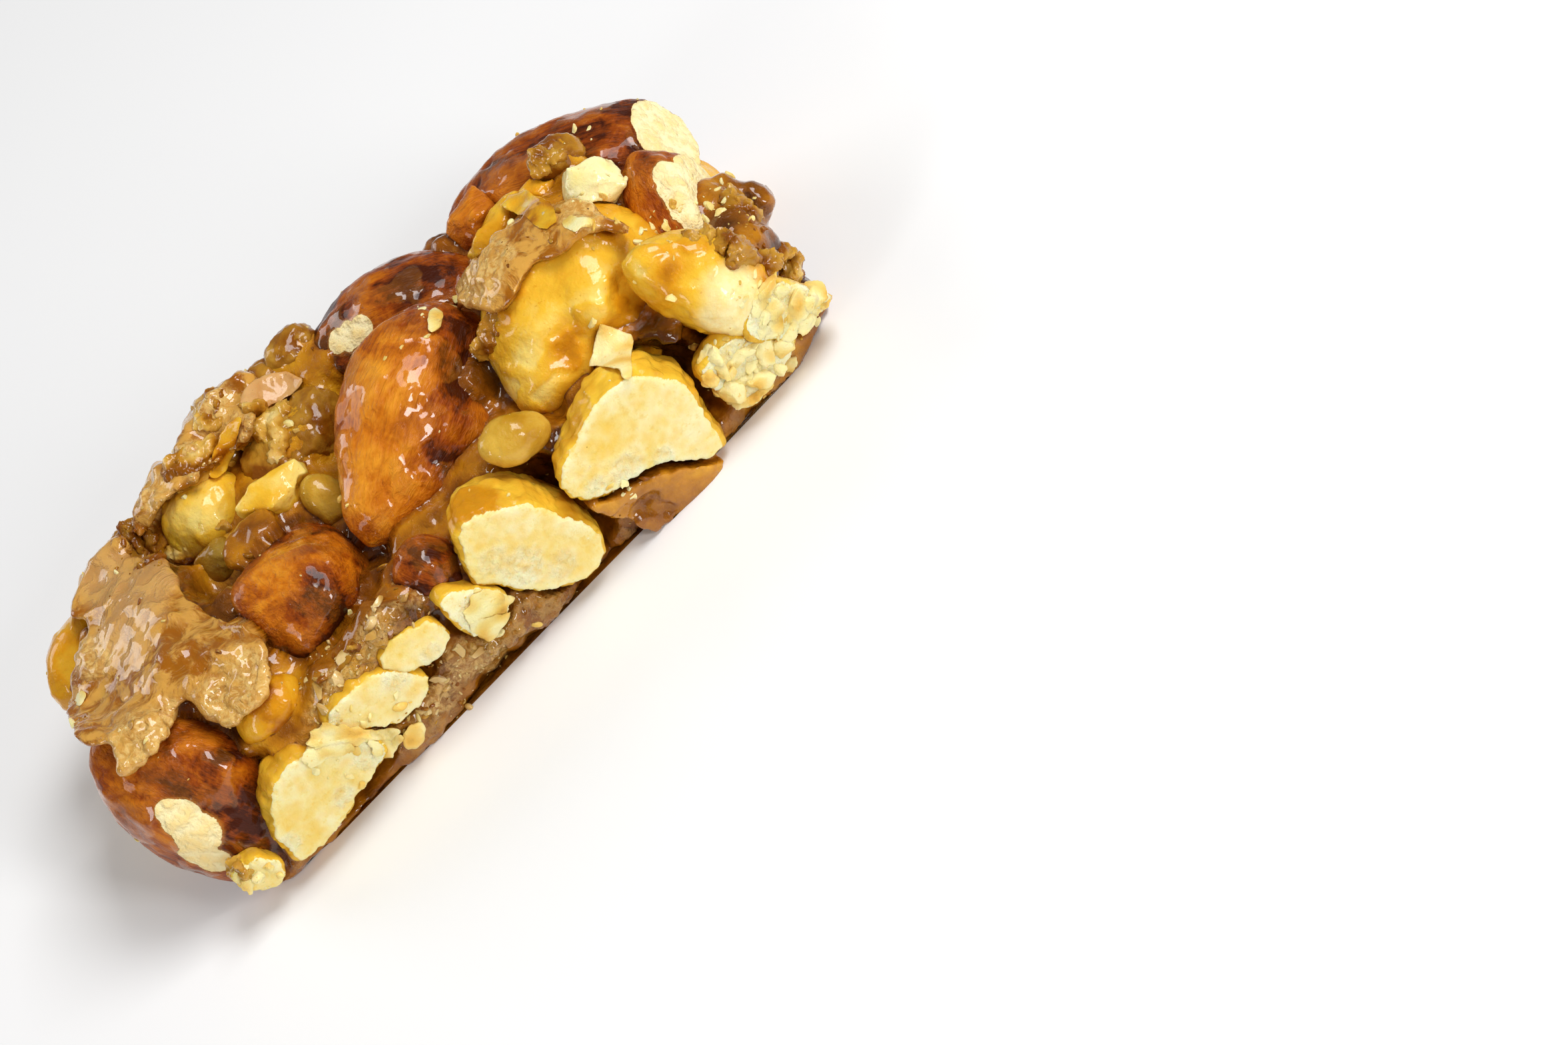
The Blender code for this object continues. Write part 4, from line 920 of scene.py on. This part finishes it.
chunks = {   # pixel of the photograph and size in mm
    "pale": [(1152, 436, 3.4), (1196, 460, 3.8), (1226, 444, 3.2), (1168, 484, 3.6),
        (1206, 482, 3.0), (1140, 462, 2.8), (1238, 458, 2.0), (1214, 432, 2.0), (1174, 436, 2.6),
        (1212, 458, 2.6), (1184, 478, 2.4), (1148, 482, 2.6), (1222, 468, 1.8), (1146, 500, 2.4),
        (1186, 500, 2.2), (1162, 460, 2.8), (1108, 536, 3.8), (1152, 530, 4.0), (1180, 520, 3.0),
        (1082, 556, 3.0), (1052, 536, 2.6), (1134, 568, 3.8), (1096, 590, 3.2), (1066, 574, 2.4),
        (1124, 600, 2.6), (1150, 582, 2.2), (1180, 548, 2.4), (1042, 520, 1.8), (1130, 548, 2.6),
        (1114, 574, 2.6), (1096, 560, 2.4), (1166, 556, 2.2), (1074, 536, 2.2), (1128, 520, 2.4),
        (1100, 300, 2.6), (1084, 316, 1.8), (1000, 338, 1.6), (930, 333, 1.8), (1010, 310, 1.4),
        (390, 1316, 2.6), (372, 1326, 2.4), (404, 1304, 2.0), (650, 482, 1.6), (936, 722, 2.0),
        (682, 446, 1.4)],
    "toffee": [(1118, 312, 5.0), (1108, 300, 3.4), (1087, 366, 4.2), (1112, 384, 4.6),
        (1070, 352, 3.4), (1200, 388, 5.0), (1226, 396, 3.2), (1214, 376, 3.0), (1174, 388, 3.6),
        (1186, 412, 4.4), (1150, 402, 4.0), (731, 506, 4.6), (205, 812, 3.0), (190, 800, 2.4),
        (222, 820, 2.8), (232, 838, 2.2), (366, 1308, 2.6), (352, 1296, 2.2), (1040, 352, 2.4),
        (812, 252, 3.6), (826, 236, 2.6), (530, 968, 1.8)],
    "brittle": [(308, 622, 5.2), (292, 664, 5.6), (390, 656, 8.4), (432, 640, 6.2),
        (420, 690, 5.8), (352, 636, 4.6), (256, 706, 4.6), (330, 700, 5.0), (330, 596, 3.6),
        (366, 604, 3.4), (276, 826, 3.6), (330, 800, 2.6), (60, 940, 3.0)],
    "almond": [(470, 470, 3.0)],
    "sugar": [(566, 905, 1.5), (552, 935, 1.6), (512, 988, 1.8), (476, 1034, 1.9),
        (500, 1022, 1.8), (556, 958, 1.6), (484, 1064, 1.4), (606, 896, 1.4), (655, 1020, 1.7),
        (690, 975, 1.7), (720, 975, 1.8), (640, 1070, 1.4)],
}
chunkShapes = {"pale": (10, 0, 0.45), "toffee": (5, 0, 0.80), "brittle": (6, 2, 0.70),
               "almond": (5, 3, 0.30), "sugar": (7, 0, 0)}   # slices, softening, dents in mm
sinks = {"brittle": 0.32, "sugar": 0.12}   # share of the size that is under the surface
# kind, pixel, reach in pixels, how many
crumbZones = [("pale", 1160, 470, 70, 50), ("pale", 1110, 560, 60, 50),
    ("pale", 1095, 305, 45, 30), ("pale", 520, 1120, 60, 40), ("pale", 620, 1070, 40, 16),
    ("pale", 725, 920, 40, 20), ("pale", 1000, 340, 50, 20), ("pale", 900, 330, 50, 12),
    ("pale", 940, 725, 24, 8), ("pale", 390, 1315, 35, 14), ("pale", 640, 480, 30, 5),
    ("pale", 410, 650, 40, 8), ("toffee", 1110, 380, 60, 30), ("toffee", 215, 815, 40, 24),
    ("toffee", 365, 1305, 30, 14), ("toffee", 560, 980, 90, 26), ("toffee", 660, 1040, 50, 20),
    ("toffee", 740, 350, 50, 10), ("sugar", 500, 1010, 60, 70), ("sugar", 600, 940, 60, 40),
    ("sugar", 670, 1030, 60, 44), ("sugar", 720, 985, 40, 20)]
# kind, the way the side faces, how many
sideZones = [("pale", (0.1, 1, 0.3), 50), ("toffee", (0, 1, 0.4), 70), ("pale", (1, 0.2, 0.3), 40),
    ("toffee", (1, 0.1, 0.4), 30), ("pale", (-1, 0.2, 0.4), 26), ("toffee", (-1, 0.1, 0.5), 24),
    ("toffee", (0, 0.4, 1), 16), ("sugar", (0, 1, 0.4), 30), ("pale", (0, -1, 0.2), 16),
    ("toffee", (0, -1, 0.1), 40), ("sugar", (0, -1, 0.1), 70)]


def facets(name, size, seed, cuts, divisions=3):   # an angular bit, sliced from a ball
    deselect()
    bpy.ops.mesh.primitive_ico_sphere_add(subdivisions=divisions, radius=0.5)
    piece = bpy.context.object
    piece.name = name
    dice = random.Random(seed)
    bpy.ops.object.mode_set(mode="EDIT")
    for turn in range(cuts):
        normal = Vector([dice.uniform(-1, 1) for axis in range(3)]).normalized()
        bpy.ops.mesh.select_all(action="SELECT")
        bpy.ops.mesh.bisect(plane_co=normal * dice.uniform(0.2, 0.36), plane_no=normal,
                            use_fill=True, clear_outer=True)
    bpy.ops.object.mode_set(mode="OBJECT")
    settle(piece, Matrix.Diagonal((1.25 * size * mm, dice.uniform(0.8, 1.1) * size * mm,
                                   dice.uniform(0.6, 0.9) * size * mm, 1)))
    return piece


def placeBit(piece, spot, normal, sink, dice):   # a random turn, sunk a little into what is there
    turn = Vector([dice.uniform(-1, 1) for axis in range(3)]).normalized()
    swing = Matrix.Rotation(dice.uniform(0, 2 * math.pi), 4, turn)
    settle(piece, Matrix.Translation(Vector(spot) - Vector(normal) * sink * mm) @ swing)


caramelTree = treeOf(caramel)
nutTree, nutOwners = treeOfNuts()
underBits = (nutTree, caramelTree)
bits = {kind: [] for kind in ("pale", "golden", "brittle", "almond", "toffee", "sugar", "peel")}
for name, values in flakes.items():
    values = dict(values)
    kind = values.pop("kind", "pale")
    piece = laidPlate(name, underBits, voxel=0.2, **values)
    dent(piece, crumblyDents, 0.14)
    bits[kind].append(piece)
dice = random.Random(5)
for kind, places in chunks.items():
    for index, (across, down, size) in enumerate(places):
        hit = hitOn(underBits, across, down)
        if hit is None:
            continue
        sliced, softened, dented = chunkShapes[kind]
        piece = facets("chunk", size, 100 + index, sliced)
        if kind != "sugar":
            remade(piece, 0.2, softened)
            dent(piece, fineDents, dented)
            dent(piece, crumblyDents, 0.6 * dented)
        placeBit(piece, hit[0], hit[1], sinks.get(kind, 0.12) * size, dice)
        bits[kind].append(piece)
crumbShapes = [facets("crumb", 1.0, 300 + index, 5, 2) for index in range(8)]
box = [Vector(corner) for corner in cadBox]


def crumb(kind, spot, normal, tree, face):
    if kind != "pale" and tree is nutTree and kinds[nutOwners[face]] != "toffee":
        return   # clean nuts stay clean of caramel
    piece = freeCopy(dice.choice(crumbShapes), "crumb")
    size = (0.25 + 1.1 * dice.random() ** 3) * (1.0 if kind != "sugar" else 0.8)
    settle(piece, Matrix.Diagonal((size, size * dice.uniform(0.6, 1),
                                   size * dice.uniform(0.5, 1), 1)))
    placeBit(piece, spot, normal, 0.06 * size, dice)
    bits[kind].append(piece)


for kind, across, down, reach, count in crumbZones:
    for turn in range(count):
        angle, away = dice.uniform(0, 2 * math.pi), reach * math.sqrt(dice.random())
        hit = hitOn(underBits, across + away * math.cos(angle), down + away * math.sin(angle))
        if hit:
            crumb(kind, hit[0], hit[1], hit[3], hit[4])
for kind, facing, count in sideZones:
    outward = Vector(facing).normalized()
    for turn in range(count):
        start = Vector([dice.uniform(box[0][axis], box[1][axis]) for axis in range(3)])
        hits = [tree.ray_cast(start + outward * 0.1, -outward) + (tree,) for tree in underBits]
        hits = [hit for hit in hits if hit[3] is not None]
        if hits:
            spot, normal, face, distance, tree = min(hits, key=lambda found: found[3])
            crumb(kind, spot, normal, tree, face)
for piece in crumbShapes:
    bpy.data.objects.remove(piece)
bitShades = {"golden": (0.10, 0.4), "sugar": (0.0, 0.9), "brittle": (0.06, 0.9),
             "toffee": (0.24, 0.5), "pale": (0.08, 0.9)}   # middle, swing
bitPieces = {kind: joined(kind + "Bits", pieces) for kind, pieces in bits.items() if pieces}
for kind, piece in bitPieces.items():
    keepPlace(piece, "skinPlace", points(piece) / mm)
    shade, wave = bitShades.get(kind, (0.0, 0.0))
    keep(piece, "shade", [shade + wave * noise.noise(vert.co / (2.0 * mm))
                          for vert in piece.data.vertices])
    if kind in ("golden", "brittle", "toffee", "almond"):
        # nearness to the caramel: thicker glaze and painted shade where bit and caramel meet
        near = [caramelTree.find_nearest(vert.co)[3] for vert in piece.data.vertices]
        keep(piece, "glaze", np.exp(-np.array(near) / (0.8 * mm)))
        keep(piece, "film", [noise.noise(vert.co / (1.6 * mm)) + 0.5
                             for vert in piece.data.vertices])
    pick(piece)
    bpy.ops.object.shade_smooth_by_angle(angle=math.radians(40))


pressed = 0.75   # share of what stands out of the solids' box that is pressed back in


def pressIn(piece):   # and nothing goes under the table
    places = points(piece)
    low, high = (np.array(corner) for corner in cadBox)
    over, under = np.maximum(places - high, 0), np.maximum(low - places, 0)
    places = places - pressed * over + pressed * under
    places[:, 2] = np.maximum(places[:, 2], 0)
    movePoints(piece, places)


for piece in [caramel] + list(nutPieces.values()) + list(bitPieces.values()):
    pressIn(piece)
print("bits:", {kind: len(piece.data.polygons) for kind, piece in bitPieces.items()})


# Finishes

class Wire:   # a node's output, which sums and products can use
    def __init__(self, tree, socket):
        self.tree, self.socket = tree, socket

    def reckon(self, operation, first, second):
        node = self.tree.nodes.new("ShaderNodeMath")
        node.operation = operation
        for socket, value in zip(node.inputs, (first, second)):
            if isinstance(value, Wire):
                self.tree.links.new(value.socket, socket)
            else:
                socket.default_value = value
        return Wire(self.tree, node.outputs[0])

    def __add__(self, other):
        return self.reckon("ADD", self, other)

    def __radd__(self, other):
        return self.reckon("ADD", other, self)

    def __sub__(self, other):
        return self.reckon("SUBTRACT", self, other)

    def __rsub__(self, other):
        return self.reckon("SUBTRACT", other, self)

    def __mul__(self, other):
        return self.reckon("MULTIPLY", self, other)

    def __rmul__(self, other):
        return self.reckon("MULTIPLY", other, self)


class Paint:   # one material while its nodes are laid out
    def __init__(self, name, fixed):
        self.material = bpy.data.materials.new(name)
        self.material.use_nodes = True
        self.tree = self.material.node_tree
        self.shader = self.tree.nodes["Principled BSDF"]
        for socket, value in fixed.items():
            self.shader.inputs[socket].default_value = value

    def feed(self, socket, value):
        if isinstance(value, Wire):
            self.tree.links.new(value.socket, socket)
        else:
            socket.default_value = value

    def node(self, kind, settings=None, sockets=None, output=0):
        made = self.tree.nodes.new(kind)
        for name, value in (settings or {}).items():
            if name == "stops":
                ramp = made.color_ramp.elements
                while len(ramp) < len(value):
                    ramp.new(0.5)
                for element, (position, colour) in zip(ramp, value):
                    element.position = position
                    element.color = (*colour, 1)
            else:
                setattr(made, name, value)
        for name, value in (sockets or {}).items():
            self.feed(made.inputs[name], value)
        return Wire(self.tree, made.outputs[output])

    def attribute(self, name, output=2):
        return self.node("ShaderNodeAttribute", {"attribute_name": name}, output=output)

    def speckle(self, place, size, detail=2.0, rough=0.5, warp=0.0):   # size in the place's unit
        return self.node("ShaderNodeTexNoise", {}, {"Vector": place, "Scale": 1 / size,
                         "Detail": detail, "Roughness": rough, "Distortion": warp})

    def place(self):   # Object coordinates, in metres
        return self.node("ShaderNodeTexCoord", output=3)

    def between(self, value, low, high):   # 0 below low, 1 above high
        return self.node("ShaderNodeMapRange", {"interpolation_type": "SMOOTHSTEP"},
                         {"Value": value, "From Min": low, "From Max": high})

    def clouds(self, place, size, detail, rough=0.5, warp=0.0, low=0.3, high=0.7):
        return self.between(self.speckle(place, size, detail, rough, warp), low, high)

    def mix(self, factor, first, second):
        colours = [value if isinstance(value, Wire) else (*value, 1) for value in (first, second)]
        return self.node("ShaderNodeMix", {"data_type": "RGBA"},
                         {0: factor, 6: colours[0], 7: colours[1]}, 2)

    def ramp(self, value, *stops):
        return self.node("ShaderNodeValToRGB", {"stops": stops}, {"Fac": value})

    def done(self, colour, roughness, height, distance=0.1, coat=None):
        self.feed(self.shader.inputs["Base Color"], colour)
        self.feed(self.shader.inputs["Roughness"], roughness)
        if coat is not None:
            self.feed(self.shader.inputs["Coat Weight"], coat)
        bump = self.node("ShaderNodeBump", {}, {"Height": height, "Distance": distance * mm})
        self.feed(self.shader.inputs["Normal"], bump)
        return self.material


def soft(weight, scale, coat, coatRough=0.06, ior=1.48):   # sockets that are the same all over
    return {"Subsurface Weight": weight, "Subsurface Radius": (1.0, 0.45, 0.12),
            "Subsurface Scale": scale * mm, "Coat Weight": coat, "Coat Roughness": coatRough,
            "IOR": ior, "Specular IOR Level": 0.10}


almondFinish = {"dark": (0.060, 0.009, 0.001), "brown": (0.30, 0.055, 0.002),
                "orange": (0.59, 0.165, 0.005), "bright": (0.82, 0.32, 0.020),
                "inside": (1.0, 0.87, 0.50), "insideShade": (0.96, 0.72, 0.30),
                "tornEdge": (0.50, 0.20, 0.03), "film": (0.62, 0.22, 0.022)}


def almondSkin():
    paint = Paint("almondSkin", soft(0.06, 0.6, 0.65))
    skin = paint.attribute("skinPlace", 1)
    along = paint.node("ShaderNodeVectorMath", {"operation": "MULTIPLY"},
                       {0: skin, 1: (0.22, 1.0, 1.0)})
    streaks = paint.clouds(along, 1.6, 4.0, 0.55, 0.6)
    wrinkles = paint.clouds(along, 0.75, 3.0, 0.6, 1.4)
    fine = paint.clouds(along, 0.28, 3.0, 0.6)
    blotches = paint.clouds(skin, 6.0, 4.0, 0.6, 0.8, low=0.32, high=0.68)
    mottles = paint.clouds(skin, 2.0, 4.0, 0.65, 0.6, low=0.32, high=0.68)
    specks = paint.clouds(skin, 0.5, 3.0, 0.6, low=0.62, high=0.72)
    glaze = paint.attribute("glaze")
    cutFace = paint.attribute("cutFace")
    film = paint.between(paint.attribute("film"), 0.2, 0.8)
    # darker near the caramel: thicker glaze and painted shade where they meet
    light = (0.22 + streaks * 0.14 + blotches * 0.42 + mottles * 0.16 + wrinkles * 0.08
             + fine * 0.08 - specks * 0.12 - glaze * 0.50 - paint.attribute("shade"))
    tint = almondFinish
    colour = paint.ramp(light, (0.0, tint["dark"]), (0.24, tint["brown"]),
                        (0.54, tint["orange"]), (0.90, tint["bright"]))
    colour = paint.mix(film * (0.10 + mottles * 0.12), colour, tint["film"])
    place = paint.place()
    ragged = paint.speckle(place, 1.6 * mm, 5.0, 0.65)
    torn = paint.between(cutFace + ragged * 0.9, 0.98, 1.05)
    scorched = paint.between(cutFace + ragged * 0.9, 0.72, 1.0)
    mottle = paint.clouds(place, 1.2 * mm, 4.0)
    inside = paint.mix(mottle, tint["inside"], tint["insideShade"])
    colour = paint.mix(scorched * 0.6, colour, tint["tornEdge"])
    colour = paint.mix(torn, colour, inside)
    rough = 0.36 + torn * 0.2 + fine * 0.10 - film * 0.22
    return paint.done(colour, rough, streaks * 0.35 + wrinkles * 0.5 * (1 - torn) + fine * 0.15
                      + blotches * 0.4 + mottle * torn * 1.5, 0.17,
                      (0.30 + film * 0.60) * (1 - torn))


goldenFinishes = {
    "golden": dict(name="goldenNut", pale=(0.95, 0.73, 0.20), gold=(0.88, 0.51, 0.035),
        amber=(0.72, 0.31, 0.008), brown=(0.36, 0.10, 0.003)),
    "green": dict(name="greenNut", pale=(0.62, 0.50, 0.16), gold=(0.50, 0.33, 0.05),
        amber=(0.34, 0.16, 0.01), brown=(0.2, 0.07, 0.004)),
    "seed": dict(name="seed", pale=(0.90, 0.70, 0.24), gold=(0.76, 0.49, 0.075),
        amber=(0.50, 0.25, 0.012), brown=(0.26, 0.09, 0.003)),
    "white": dict(name="whiteNut", pale=(1.0, 0.90, 0.46), gold=(0.98, 0.82, 0.32),
        amber=(0.8, 0.5, 0.1), brown=(0.5, 0.22, 0.02), coverage=-0.36),
    "brittle": dict(name="brittle", pale=(0.84, 0.60, 0.22), gold=(0.72, 0.42, 0.075),
        amber=(0.50, 0.22, 0.014), brown=(0.28, 0.09, 0.003)),
    "toffee": dict(name="toffeeNut", pale=(0.80, 0.54, 0.15), gold=(0.66, 0.38, 0.055),
        amber=(0.45, 0.21, 0.018), brown=(0.24, 0.07, 0.003), coverage=0.02),
    "pale": dict(name="paleBits", pale=(0.98, 0.83, 0.40), gold=(0.93, 0.69, 0.23),
        amber=(0.84, 0.50, 0.09), brown=(0.5, 0.22, 0.02), coverage=0.10, dry=0.30),
    "sugar": dict(name="sugarBits", pale=(0.80, 0.56, 0.24), gold=(0.58, 0.34, 0.085),
        amber=(0.40, 0.19, 0.025), brown=(0.1, 0.03, 0.003), coverage=0.10, dry=-0.30),
    "peel": dict(name="peeledSkin", pale=(0.80, 0.48, 0.19), gold=(0.62, 0.30, 0.09),
        amber=(0.40, 0.15, 0.035), brown=(0.2, 0.05, 0.01), coverage=0.15),
}


def goldenSkin(name, pale, gold, amber, brown, coverage=0.0, dry=0.0):
    paint = Paint(name, soft(0.22, 1.2, 0.55 - dry))
    place = paint.place()
    patches = paint.clouds(place, 4.6 * mm, 3.0, 0.55, 0.6)
    small = paint.clouds(place, 1.1 * mm, 4.0, 0.6, low=0.25, high=0.75)
    grain = paint.speckle(place, 0.25 * mm, 3.0, 0.6)
    glaze = paint.attribute("glaze")
    cutFace = paint.attribute("cutFace")
    film = paint.attribute("film")
    # more amber near the caramel: thicker glaze and painted shade where they meet
    cover = (patches * 0.16 + small * 0.10 + film * 0.26 + glaze * 0.60
             + paint.attribute("shade") + coverage)
    colour = paint.ramp(cover, (0.08, pale), (0.36, gold), (0.74, amber), (1.0, brown))
    specks = paint.clouds(place, 0.45 * mm, 2.0, low=0.66, high=0.74)
    colour = paint.mix(specks * 0.6, colour, amber)
    inside = paint.mix(small, (0.99, 0.85, 0.44), (0.94, 0.70, 0.25))
    face = paint.between(cutFace + small * 0.25 + grain * 0.15, 0.30, 1.05)
    colour = paint.mix(face, colour, inside)
    rough = 0.16 + dry * 0.7 + face * 0.35 + small * 0.12 - film * 0.06
    return paint.done(colour, rough, small * 0.28 + grain * (0.08 + dry) + patches * 0.3, 0.26)


cutFinish = {"face": (0.92, 0.78, 0.34), "shade": (0.89, 0.66, 0.18), "white": (0.96, 0.90, 0.58),
             "gold": (0.88, 0.55, 0.045), "amber": (0.62, 0.26, 0.008)}


def cutFaceSkin():
    paint = Paint("cutNut", soft(0.30, 1.0, 0.30, 0.12))
    place = paint.place()
    cloud = paint.clouds(place, 4.0 * mm, 3.0)
    mottle = paint.clouds(place, 0.9 * mm, 4.0, 0.65, low=0.25, high=0.75)
    grain = paint.speckle(place, 0.22 * mm, 3.0, 0.6)
    glaze = paint.attribute("glaze")
    cutFace = paint.attribute("cutFace")
    chalk = paint.attribute("chalk")
    inside = paint.ramp(cloud * 0.5 + mottle * 0.4 + chalk * 0.4, (0.1, cutFinish["shade"]),
                        (0.42, cutFinish["face"]), (0.9, cutFinish["white"]))
    film = paint.attribute("film")
    # more amber near the caramel: thicker glaze and painted shade where they meet
    outside = paint.ramp(cloud * 0.25 + mottle * 0.1 + film * 0.2 + glaze * 0.5
                         + paint.attribute("shade"),
                         (0.05, cutFinish["face"]), (0.36, cutFinish["gold"]),
                         (0.90, cutFinish["amber"]))
    face = paint.between(cutFace + mottle * 0.25, 0.85, 1.10)
    rim = paint.between(glaze + mottle * 0.2, 0.55, 1.1) * 0.7
    colour = paint.mix(face, outside, paint.mix(rim, inside, cutFinish["gold"]))
    rough = 0.18 + face * 0.30 + chalk * 0.25
    return paint.done(colour, rough, mottle * (0.25 + chalk * 0.8) + grain * (0.12 + face * 0.2)
                      + cloud * 0.4, 0.22)


caramelFinish = {"gold": (0.74, 0.36, 0.014), "amber": (0.52, 0.205, 0.007),
                 "brown": (0.27, 0.084, 0.003), "deep": (0.080, 0.021, 0.001),
                 "sheet": (0.74, 0.39, 0.075), "sheetAmber": (0.36, 0.112, 0.004),
                 "satin": (0.68, 0.39, 0.13), "crisp": (0.85, 0.57, 0.19),
                 "red": (0.34, 0.095, 0.004), "sugared": (0.56, 0.30, 0.07),
                 "crystal": (0.74, 0.47, 0.15)}


def caramelSkin():
    paint = Paint("caramel", soft(0.14, 1.0, 0.8, 0.04, 1.5))
    place = paint.place()
    patches = paint.clouds(place, 4.5 * mm, 3.0, 0.55, 0.5)
    small = paint.clouds(place, 1.1 * mm, 4.0, 0.6, 0.3, low=0.25, high=0.75)
    tone = paint.clouds(place, 2.4 * mm, 4.0, 0.6, 0.8, low=0.42, high=0.60)
    mottle = paint.clouds(place, 0.7 * mm, 4.0, 0.65, 0.8, low=0.40, high=0.62)
    grain = paint.speckle(place, 0.28 * mm, 3.0, 0.6)
    crisp = paint.attribute("crisp")
    rimmed = paint.attribute("rimmed")
    sawn = paint.attribute("sawn")
    tint = caramelFinish
    # darker with deeper caramel and in patches, and with painted shade in closed-in crevices and
    # hollows
    depth = (paint.attribute("deep") * 0.44 + patches * 0.30 + small * 0.10
             + paint.attribute("shut") * 0.85 + paint.attribute("hollow") * 0.50 - sawn * 0.12)
    colour = paint.ramp(depth, (0.08, tint["gold"]), (0.34, tint["amber"]),
                        (0.64, tint["brown"]), (0.92, tint["deep"]))
    colour = paint.mix(paint.attribute("dark") * 0.6, colour, tint["red"])
    sheet = paint.between(crisp * 0.9 + patches * 0.2 + small * 0.1, 0.45, 0.85)
    satin = paint.between(paint.attribute("satin") + tone * 0.2, 0.35, 0.9)
    crust = paint.between(rimmed + tone * 0.2 + small * 0.2, 0.45, 0.95)
    colour = paint.mix(sheet * 0.85, colour, paint.mix(tone * (1.0 - crust * 0.5), tint["sheet"],
                                                       tint["sheetAmber"]))
    # painted sheen: a pale pinkish tan laid into the colour where the sheet is satin
    colour = paint.mix(satin * 0.65, colour, tint["satin"])
    colour = paint.mix(crust * (0.10 + mottle * 0.66), colour, tint["crisp"])
    crystals = paint.between(small * 0.6 + grain * 0.7, 0.42, 0.80)
    clear = 1.0 - paint.attribute("hollow")
    colour = paint.mix(sawn * crystals * clear * 0.8, colour, tint["sugared"])
    crystal = paint.between(paint.attribute("crystal") + small * 0.2, 0.35, 0.9)
    colour = paint.mix(crystal * clear * (0.10 + mottle * 0.70), colour, tint["crystal"])
    bubbles = paint.node("ShaderNodeTexVoronoi", {"feature": "SMOOTH_F1"},
                         {"Vector": place, "Scale": 1 / (0.9 * mm)})
    rough = 0.09 + small * 0.10 + crust * 0.12 + satin * 0.16 + sawn * 0.06
    return paint.done(colour, rough, small * (0.45 + sawn * 0.8 - sheet * 0.25)
                      - tone * sheet * 0.5 + grain * (0.1 + sawn * 1.2)
                      + bubbles * (crust * 1.4 + crystal * 2.0), 0.28)


finishes = {"almond": almondSkin()}
for kind, values in goldenFinishes.items():
    finishes[kind] = goldenSkin(**values)
finishes["cut"] = cutFaceSkin()


def dress(piece, material):
    piece.data.materials.clear()
    piece.data.materials.append(material)


for name, piece in nutPieces.items():
    dress(piece, finishes[kinds[name]])
    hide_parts(name)
    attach(piece, "root")
dress(caramel, caramelSkin())
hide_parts("caramel")
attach(caramel, "root")
for kind, piece in bitPieces.items():
    dress(piece, finishes[kind])
    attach(piece, "root")
print("finishes on")


# Table, light and camera

stageSet = {"floor": (0.97, 0.97, 0.97), "sky": 0.13, "keyPower": 1.72, "frontPower": 1.1,
            "leftPower": 0.65, "backPower": 1.0}
deselect()
bpy.ops.mesh.primitive_plane_add(size=6)
floor = bpy.context.object
floor.name = "floor"
floorPaint = Paint("floor", {"Base Color": (*stageSet["floor"], 1), "Roughness": 0.6})
floor.data.materials.append(floorPaint.material)

world = bpy.data.worlds.new("studio")
bpy.context.scene.world = world
world.use_nodes = True
background = world.node_tree.nodes["Background"]
background.inputs["Color"].default_value = (1, 1, 1, 1)
background.inputs["Strength"].default_value = stageSet["sky"]


def softbox(name, direction, distance, size, power):
    light = bpy.data.lights.new(name, "AREA")
    light.shape = "RECTANGLE"
    light.size, light.size_y = size
    light.energy = power
    made = added(name, light)
    made.location = Vector(direction).normalized() * distance
    made.rotation_euler = (-made.location).to_track_quat("-Z", "Y").to_euler()


softbox("key", (0.62, -0.22, 1.0), 0.5, (0.26, 0.20), stageSet["keyPower"])
softbox("front", (0.45, -1.0, 0.50), 0.55, (0.10, 0.22), stageSet["frontPower"])
softbox("left", (-1.0, -0.55, 0.5), 0.55, (0.12, 0.24), stageSet["leftPower"])
softbox("back", (-0.7, 1.0, 0.7), 0.6, (0.30, 0.30), stageSet["backPower"])

lens = bpy.data.cameras.new("camera")
lens.lens, lens.sensor_width = camera["lens"], camera["sensor"]
lens.clip_start, lens.clip_end = 0.01, 20
viewer = added("camera", lens)
viewer.matrix_world = eyePlace
bpy.context.scene.camera = viewer
bpy.context.scene.view_settings.view_transform = "Standard"
print("stage set")
